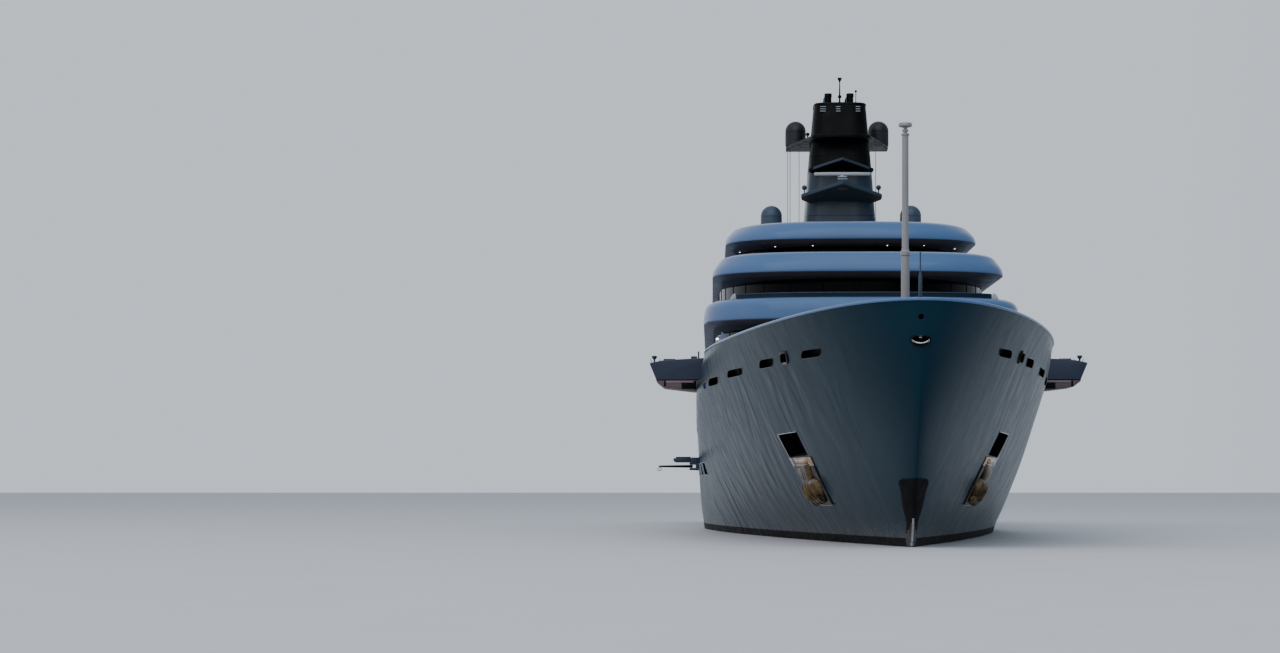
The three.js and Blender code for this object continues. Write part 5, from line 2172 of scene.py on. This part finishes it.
@dataclass
class WingStations:
    """The faceted wing stations on both sides of the hull."""

    front: float = -20
    aft: float = -16
    outline: tuple[Pair, ...] = (
        (10.5, 9.3), (11.32, 9.34), (13.26, 9.57), (13.73, 9.94), (13.76, 10.09), (14.19, 11.14),
        (13.39, 11.31), (12.26, 11.39), (10.5, 11.48),
    )
    seam: tuple[Pair, ...] = ((10.5, 10.02), (14.3, 10.0), (14.3, 10.06), (10.5, 10.08))
    trims: tuple[tuple[Pair, Pair, Finish], ...] = (
        ((13.12, 13.24), (9.62, 9.99), Finish.RECESS),
        ((11.14, 11.3), (9.42, 9.99), Finish.RECESS),
        ((11.3, 13.12), (9.86, 9.98), Finish.PALE_TRIM),
        ((11.3, 12.1), (9.46, 9.86), Finish.RECESS),
    )

    def build(self) -> None:
        """Builds both stations."""
        for side in Side:
            self.station(side)
            self.instruments(side)
            for k, ((near, far), (low, high), finish) in enumerate(self.trims):
                strip = side_block(side, (near, far), (self.front - 0.03, low), (self.front + 0.1, high))
                settle(bevelled(strip, 0.02), f"wing_trim_{side.label}_{k}", Slot.BLACK, finish)


    def station(self, side: Side) -> None:
        """The faceted body of a station, with its seam, fitted to the hull.

        Args:
            side: the side that it is on.
        """
        s = side.value
        wing = prism([(s * x, z) for x, z in self.outline], "Y", self.front, self.aft)
        seam = prism([(s * x, z) for x, z in self.seam], "Y", self.front - 1, self.front + 0.06)
        hull = FORM.body(90, 20, 4)
        hull.data.transform(Matrix.Translation((s * 0.01, 0, 0.01)))

        def pick(centre: Vector, normal: Vector) -> int:
            """Dark in the seam, and a painted warm glow below it."""
            if 9.98 < centre.z < 10.1 and centre.y < self.front + 0.07:
                return 1
            # Below the seam, the warm colour is a painted reflection of the evening glow.
            return 2 if centre.z < 9.99 else 0

        settle(
            cut(bevelled(wing, 0.05, 3, 20), hull, seam), f"wing_{side.label}", Slot.HULL,
            Finish.WING, Finish.RECESS, Finish.WARM, replaces=[f"wing_station_{side.label}"], choose=pick,
        )


    def instruments(self, side: Side) -> None:
        """The posts, boxes and compass on top of a station.

        Args:
            side: the side that it is on.
        """
        s, y = side.value, (self.front + self.aft) / 2
        compass = [(0, 11.44), (0.06, 11.44), (0.18, 11.6), (0.18, 11.66), (0.12, 11.7), (0, 11.7)]
        gear = [
            post((s * 13.9, y), 11.16, 11.5, 0.06, 12),
            turned(compass, s * 13.9, y, 20),
            bevelled(side_block(side, (12.5, 13.3), (y - 0.6, 11.28), (y + 0.6, 11.48)), 0.05, 3),
            tube([(s * 14.05, y, 11.2), (s * 14.15, y, 11.5)], 0.018, 8),
            tube([(s * 13.6, y, 11.2), (s * 13.52, y, 11.5)], 0.018, 8),
            post((s * 11.0, y), 11.4, 11.98, 0.05),
            bevelled(side_block(side, (11.1, 11.5), (y - 0.3, 11.38), (y + 0.3, 11.66)), 0.04, 3),
        ]
        settle(joined(*gear), f"wing_instruments_{side.label}", Slot.BLACK, Finish.SLATE)


@dataclass
class BoardingGear:
    """The boom and the small platform that swing out on the starboard side."""

    boom_y: float = 1.6
    boom_z: float = 4.6
    pivot: float = -11.6
    end: float = -13.95
    tread: float = 5.25

    def build(self) -> None:
        """Builds the boom, the platform and their brackets."""
        self.boom()
        self.platform()


    def boom(self) -> None:
        """The tapered boom with its pin and ring, and the hinge on the hull."""
        y, z = self.boom_y, self.boom_z
        ring = [(self.end + 0.05 + 0.14 * math.cos(a), y, z - 0.2 + 0.11 * math.sin(a)) for a in angles(16)]
        spar = tube([(x, y, z) for x in (self.pivot, -11.9, -13.7, self.end)], [0.1, 0.1, 0.07, 0.055], 20)
        pin = post((self.pivot, y), z - 0.1, z + 0.1, 0.1, 20)
        settle(
            joined(spar, pin, tube(ring, 0.022, 8, looped=True)), "swing_boom", Slot.STEEL, Finish.BLACK,
            body=Body.BOOM, replaces=["boarding_boom"],
        )
        lugs = [
            bevelled(block((-11.75, y - 0.16, z + k), (-11.0, y + 0.16, z + k + 0.17)), 0.04, 3)
            for k in (0.11, -0.28)
        ]
        lugs.append(bevelled(block((-11.3, y - 0.3, z - 0.3), (-11.0, y + 0.3, z + 0.3)), 0.05, 3))
        settle(joined(*lugs), "boom_hinge", Slot.STEEL, Finish.SLATE, replaces=["boom_bracket"])


    def platform(self) -> None:
        """The small folding platform with its teak tread, and its bracket."""
        outline = [(-11.45, 4.85), (-12.7, 4.85), (-12.85, 4.95), (-12.85, 5.15), (-11.45, 5.15)]
        deck = [
            bevelled(prism(outline, "Y", -2.4, -0.4), 0.03, 2),
            tube([(-11.45, -2.4, 5), (-11.45, -0.4, 5)], 0.15, 20),
            bevelled(block((-12.68, -2.25, 5.14), (-11.62, -0.55, self.tread)), 0.03, 2),
        ]
        settle(
            joined(*deck), "boarding_deck", Slot.TEAK, Finish.SLATE, Finish.TEAK, body=Body.SIDE_PLATFORM,
            replaces=["boarding_platform"], choose=planked(self.tread),
        )
        arms = [
            block((-11.6, -2.65, 4.75), (-11.0, -2.41, 5.2)),
            block((-11.6, -0.39, 4.75), (-11.0, -0.15, 5.2)),
            block((-11.2, -2.65, 4.4), (-11.0, -0.15, 4.85)),
        ]
        hinge = joined(*(bevelled(arm, 0.05, 3) for arm in arms))
        settle(hinge, "platform_hinge", Slot.STEEL, Finish.SLATE, replaces=["platform_bracket"])


@dataclass
class Stern:
    """The swim platform, steps, door and stern rails."""

    risers: int = 18
    stairs_top: float = 53.15
    platform_half: float = 9.6
    platform_end: float = 69.6
    platform_round: float = 2

    def build(self) -> None:
        """Builds the stern's pieces."""
        self.platform()
        self.steps()
        self.door()

    def platform(self) -> None:
        """The teak swim platform with a rounded painted edge."""
        half, end, r = self.platform_half, self.platform_end, self.platform_round
        turn = spread(0, math.pi / 2, 12)
        corner = [(half - r + r * math.cos(a), end - r + r * math.sin(a)) for a in turn]
        port = [(8.15, 59.52), (8.15, 64.42), (half, 64.42), *corner]
        outline = port + [(-x, y) for x, y in reversed(port)]
        settle(
            bevelled(prism(outline, "Z", PLATFORM_SEAT + GAP, PLATFORM_DECK), 0.05, 3), "stern_platform",
            Slot.TEAK, Finish.WING, Finish.TEAK, replaces=["swim_platform"], choose=planked(PLATFORM_DECK),
        )

    def steps(self) -> None:
        """The two flights of steps, with teak treads, painted risers and a rail at each edge."""
        top, foot, base = self.stairs_top, TRANSOM - 0.05, PLATFORM_SEAT + GAP
        rise, run = (AFT_DECK - PLATFORM_DECK) / self.risers, (foot - top) / self.risers
        outline = [(top, base), (foot, base)]
        for k in range(self.risers):
            y, z = foot - run * k, PLATFORM_DECK + rise * (k + 1)
            outline += [(y, z - 0.06), (y + 0.04, z - 0.04), (y + 0.04, z), (foot - run * (k + 1), z)]
        for side in Side:
            low, high = sorted((side.value * 5.22, side.value * 7.78))
            settle(
                prism(outline, "X", low, high), f"stair_{side.label}", Slot.TEAK, Finish.WHITE, Finish.TEAK,
                replaces=[f"steps_{side.label}"], choose=lambda centre, normal: int(normal.z > 0.95),
            )
            rails = [rail for x in (5.3, 7.7) for rail in self.stair_rail(side.value * x, foot - 0.3)]
            settle(joined(*rails), f"stair_rails_{side.label}", Slot.STEEL, Finish.STEEL)


    def stair_rail(self, x: float, foot: float) -> list[Shape]:
        """One rail along the steps.

        Args:
            x: where it stands.
            foot: where its lower end is.

        Returns:
            The rail and its posts.
        """
        high, low = (x, 53.3, AFT_DECK + 0.9), (x, foot, PLATFORM_DECK + 1.2)
        parts = [tube([high, low], 0.035, 8)]
        for t in spread(0, 1, 5):
            base = mix(AFT_DECK, PLATFORM_DECK + 0.3, t) - 0.1
            parts.append(post((x, mix(high[1], low[1], t)), base, mix(high[2], low[2], t), 0.025, 8))
        return parts

    def door(self) -> None:
        """The transom door, with its pressed border."""
        door = block((-4.5, TRANSOM - 0.35, 2), (4.5, TRANSOM, 6.4))
        with editing(door):
            bpy.ops.mesh.select_all(action="DESELECT")
        for face in door.data.polygons:
            face.select = face.normal.y > 0.9
        focus(door)
        bpy.ops.object.mode_set(mode="EDIT")
        bpy.ops.mesh.inset(thickness=0.35, depth=0)
        bpy.ops.mesh.inset(thickness=0.06, depth=-0.05)
        bpy.ops.object.mode_set(mode="OBJECT")
        settle(
            bevelled(door, 0.02), "club_door", Slot.HULL, Finish.HULL, body=Body.DOOR,
            replaces=["transom_door"],
        )


@dataclass
class RunningGear:
    """What is below the waterline: shafts, propellers, rudders and stabiliser fins."""

    off: float = RUDDER_POST[0]
    shaft_from: Pair = (40, -3.3)
    shaft_to: Pair = (55.6, -4.1)
    blades: int = 5
    radius: float = 1.36
    hub_half: float = 0.55
    section: tuple[Pair, ...] = (
        (-0.5, 0), (-0.3, 1), (0, 1.2), (0.3, 0.8), (0.5, 0), (0.3, -0.4), (0, -0.5), (-0.3, -0.4)
    )
    rudder_y: float = RUDDER_POST[1]
    fin_root: float = 12.0
    fin_span: float = 1.55

    def blade(self, turn: float, hand: int) -> Shape:
        """One skewed blade, rooted in the hub.

        Args:
            turn: where it stands round the hub, in radians.
            hand: 1 or -1, the way that it twists.

        Returns:
            The blade.
        """
        rows = []
        for t in spread(0, 1, 14):
            r = mix(0.22, self.radius, t)
            chord = 0.95 * math.sin(math.pi * clamp(0.16 + 0.8 * t, 0, 1)) ** 0.7 * (1 if t < 0.99 else 0.4)
            pitch, thick = math.atan2(1.3, 2 * math.pi * r), mix(0.07, 0.012, t)
            ring = []
            for u, w in self.section:
                along, across = u * chord, w * thick
                y = along * math.sin(pitch) + across * math.cos(pitch)
                swing = (along * math.cos(pitch) - across * math.sin(pitch)) / r + 0.5 * t**2
                angle = turn + hand * swing
                ring.append((r * math.sin(angle), y, r * math.cos(angle)))
            rows.append(ring)
        return surface(rows)


    def propeller(self, side: Side, body: Body) -> None:
        """A five-bladed propeller with a cone on its hub.

        Args:
            side: the side that it is on.
            body: the body that it turns with.
        """
        profile = (
            (-0.55, 0.3), (-0.5, 0.34), (0.1, 0.33), (0.3, 0.3), (0.45, 0.22), (0.54, 0.08), (0.55, 0.0)
        )
        hub = surface([[(r * math.cos(a), y, r * math.sin(a)) for a in angles(32)] for y, r in profile])
        whole = joined(hub, *(self.blade(turn, side.value) for turn in angles(self.blades)))
        (start, high), (end, low) = self.shaft_from, self.shaft_to
        run = Vector((0, end - start, low - high)).normalized()
        centre = Vector((side.value * self.off, end, low)) + run * (self.hub_half + GAP)
        whole.data.transform(Matrix.Translation(centre) @ Matrix.Rotation(math.atan2(run.z, run.y), 4, "X"))
        settle(
            whole, f"screw_{side.label}", Slot.BRONZE, Finish.BRONZE, body=body,
            replaces=[f"propeller_{side.label}"],
        )


    def shaft(self, side: Side) -> None:
        """A shaft in its tube, with the bracket that holds its end.

        Args:
            side: the side that it is on.
        """
        x = side.value * self.off
        bearing = ((52.9, -3.96), (53.0, -3.97), (54.5, -4.04), (54.6, -4.05))
        path = [(x, *place) for place in (self.shaft_from, *bearing, self.shaft_to)]
        line = tube(path, [0.2, 0.2, 0.3, 0.3, 0.2, 0.2], 24)
        foil = [(53.3, 0), (53.4, 0.08), (53.7, 0.12), (54.1, 0.09), (54.3, 0)]
        rows = [
            [(x + w, y, z) for y, w in foil] + [(x - w, y, z) for y, w in reversed(foil[1:-1])]
            for z in (-4.1, -1.45)
        ]
        settle(
            joined(line, surface(rows)), f"shaft_line_{side.label}", Slot.STEEL, Finish.SATIN,
            replaces=[f"shaft_{side.label}"],
        )


    def rudder(self, side: Side, body: Body) -> None:
        """A rudder of streamlined section on its stock.

        Args:
            side: the side that it is on.
            body: the body that it turns with.
        """
        x, y = side.value * self.off, self.rudder_y
        foil = curve_through(
            [(-0.45, 0), (-0.38, 0.12), (-0.15, 0.19), (0.3, 0.2), (1.0, 0.12), (2.0, 0.02), (2.12, 0)], 3
        )
        both = foil + [(u, -w) for u, w in reversed(foil[1:-1])]
        rows = [
            [(x + w * k, y + u * k, z) for u, w in both]
            for z, k in ((-2.36, 0.96), (-2.42, 1.0), (-5.12, 0.92), (-5.2, 0.86))
        ]
        blade = joined(surface(rows), post((x, y), -4.7, -1.21, 0.22, 24))
        settle(
            blade, f"rudder_blade_{side.label}", Slot.HULL, Finish.BOTTOM, body=body,
            replaces=[f"rudder_{side.label}"],
        )

    def build(self) -> None:
        """Builds both sides."""
        for side, screw, helm in (
            (Side.PORT, Body.PROPELLER_PORT, Body.RUDDER_PORT),
            (Side.STARBOARD, Body.PROPELLER_STARBOARD, Body.RUDDER_STARBOARD),
        ):
            self.propeller(side, screw)
            self.shaft(side)
            self.rudder(side, helm)
            self.stabiliser(side)

    def stabiliser(self, side: Side) -> None:
        """A stabiliser fin of rounded section.

        Args:
            side: the side that it is on.
        """
        chord, tip = 2.6, 1.6
        foil = [(0, 0), (0.04, 0.07), (0.25, 0.12), (0.6, 0.08), (1, 0.005)]
        both = foil + [(u, -w) for u, w in reversed(foil[:-1])]
        rows = []
        for t, k in ((0, 1.0), (0.5, 0.95), (0.96, 0.85), (1, 0.7)):
            length = mix(chord, tip, t) * (1 if t < 1 else 0.94)
            start = self.fin_root + mix(0, chord - 0.3 - tip, t)
            rows.append([(w * k, start + u * length, self.fin_span * t) for u, w in both])
        fin = surface(rows)
        lean = Matrix.Rotation(math.radians(side.value * 128), 4, "Y")
        x, z = FORM.half_at_share(self.fin_root, -0.85) - 0.3, 0.85 * FORM.keel(self.fin_root) + 0.25
        fin.data.transform(Matrix.Translation((side.value * x, 0, z)) @ lean)
        settle(fin, f"fin_{side.label}", Slot.HULL, Finish.BOTTOM, replaces=[f"stabiliser_{side.label}"])


@dataclass
class Studio:
    """The floor at the waterline, soft light and the camera. Lengths here are the model's."""

    floor_half: float = 300
    surround_starboard: str = "#CCD4DE"
    surround_port: str = "#8E97A2"
    surround_strength: float = 1.15
    place: Point = (-1.012, -21.85, 0.29)
    turn: Point = (90.0, 0.0, 1.35)
    lens: float = 86.0
    sensor: float = 36.0
    rise: float = 0.1277

    def floor(self) -> None:
        """A plain pale floor at the height of the waterline."""
        bpy.ops.mesh.primitive_plane_add(size=2 * self.floor_half)
        floor = bpy.context.object
        floor.name = "floor"
        floor.data.materials.append(StudioFloor().material())
        floor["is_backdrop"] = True

    def light(
        self, name: str, place: Point, aim: Point, size: float, watts: float, colour: str, glossy: bool
    ) -> None:
        """A soft square light.

        Args:
            name: the light's name.
            place: where it is.
            aim: the point that it faces.
            size: how wide it is.
            watts: its power.
            colour: its hex colour.
            glossy: whether it is seen in what is polished.
        """
        data = bpy.data.lights.new(name, "AREA")
        data.size, data.energy, data.color = size, watts, linear(colour)[:3]
        lamp = bpy.data.objects.new(name, data)
        bpy.context.collection.objects.link(lamp)
        lamp.visible_glossy = glossy
        lamp.location = place
        lamp.rotation_euler = (Vector(aim) - Vector(place)).to_track_quat("-Z", "Y").to_euler()

    def surround(self) -> None:
        """A pale surround, a little deeper to port."""
        world = bpy.data.worlds.new("studio")
        bpy.context.scene.world = world
        world.use_nodes = True
        tree = world.node_tree
        shade = tree.nodes["Background"]
        toward = coordinate(tree, add_node(tree, "TexCoord").outputs["Generated"], 0)
        colour = blended(tree, ramp(tree, toward, 0.15, 0.55), self.surround_starboard, self.surround_port)
        tree.links.new(colour, shade.inputs["Color"])
        shade.inputs["Strength"].default_value = self.surround_strength

    def camera(self) -> None:
        """The camera, ahead of the yacht and a little to starboard of it."""
        data = bpy.data.cameras.new("camera")
        data.lens, data.sensor_width, data.clip_end, data.shift_y = self.lens, self.sensor, 2000, self.rise
        camera = bpy.data.objects.new("camera", data)
        bpy.context.collection.objects.link(camera)
        camera.location = self.place
        camera.rotation_euler = [math.radians(a) for a in self.turn]
        bpy.context.scene.camera = camera

    def build(self) -> None:
        """Builds the studio."""
        self.floor()
        self.surround()
        self.light("overhead", (-4, -22, 26), (0, -1, 1), 34, 6000, "#F4F8FF", True)
        self.light("side", (-30, -12, 7), (0, -4, 0.6), 14, 2600, "#FF9A66", False)
        self.camera()


def main() -> None:
    """Builds the yacht's assemblies and the studio."""
    logging.basicConfig(level=logging.INFO, format="%(name)s %(message)s")
    for assembly in (
        Hull(), BowGear(), Superstructure(), Mast(), WingStations(), BoardingGear(), Stern(),
        RunningGear(), Studio(),
    ):
        LOG.info("building %s", type(assembly).__name__)
        assembly.build()
    boxes = {"cad": CAD_BOX, "visual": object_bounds()}
    json.dumps({name: [list(corner) for corner in box] for name, box in boxes.items()})


if __name__ == "__main__":
    main()
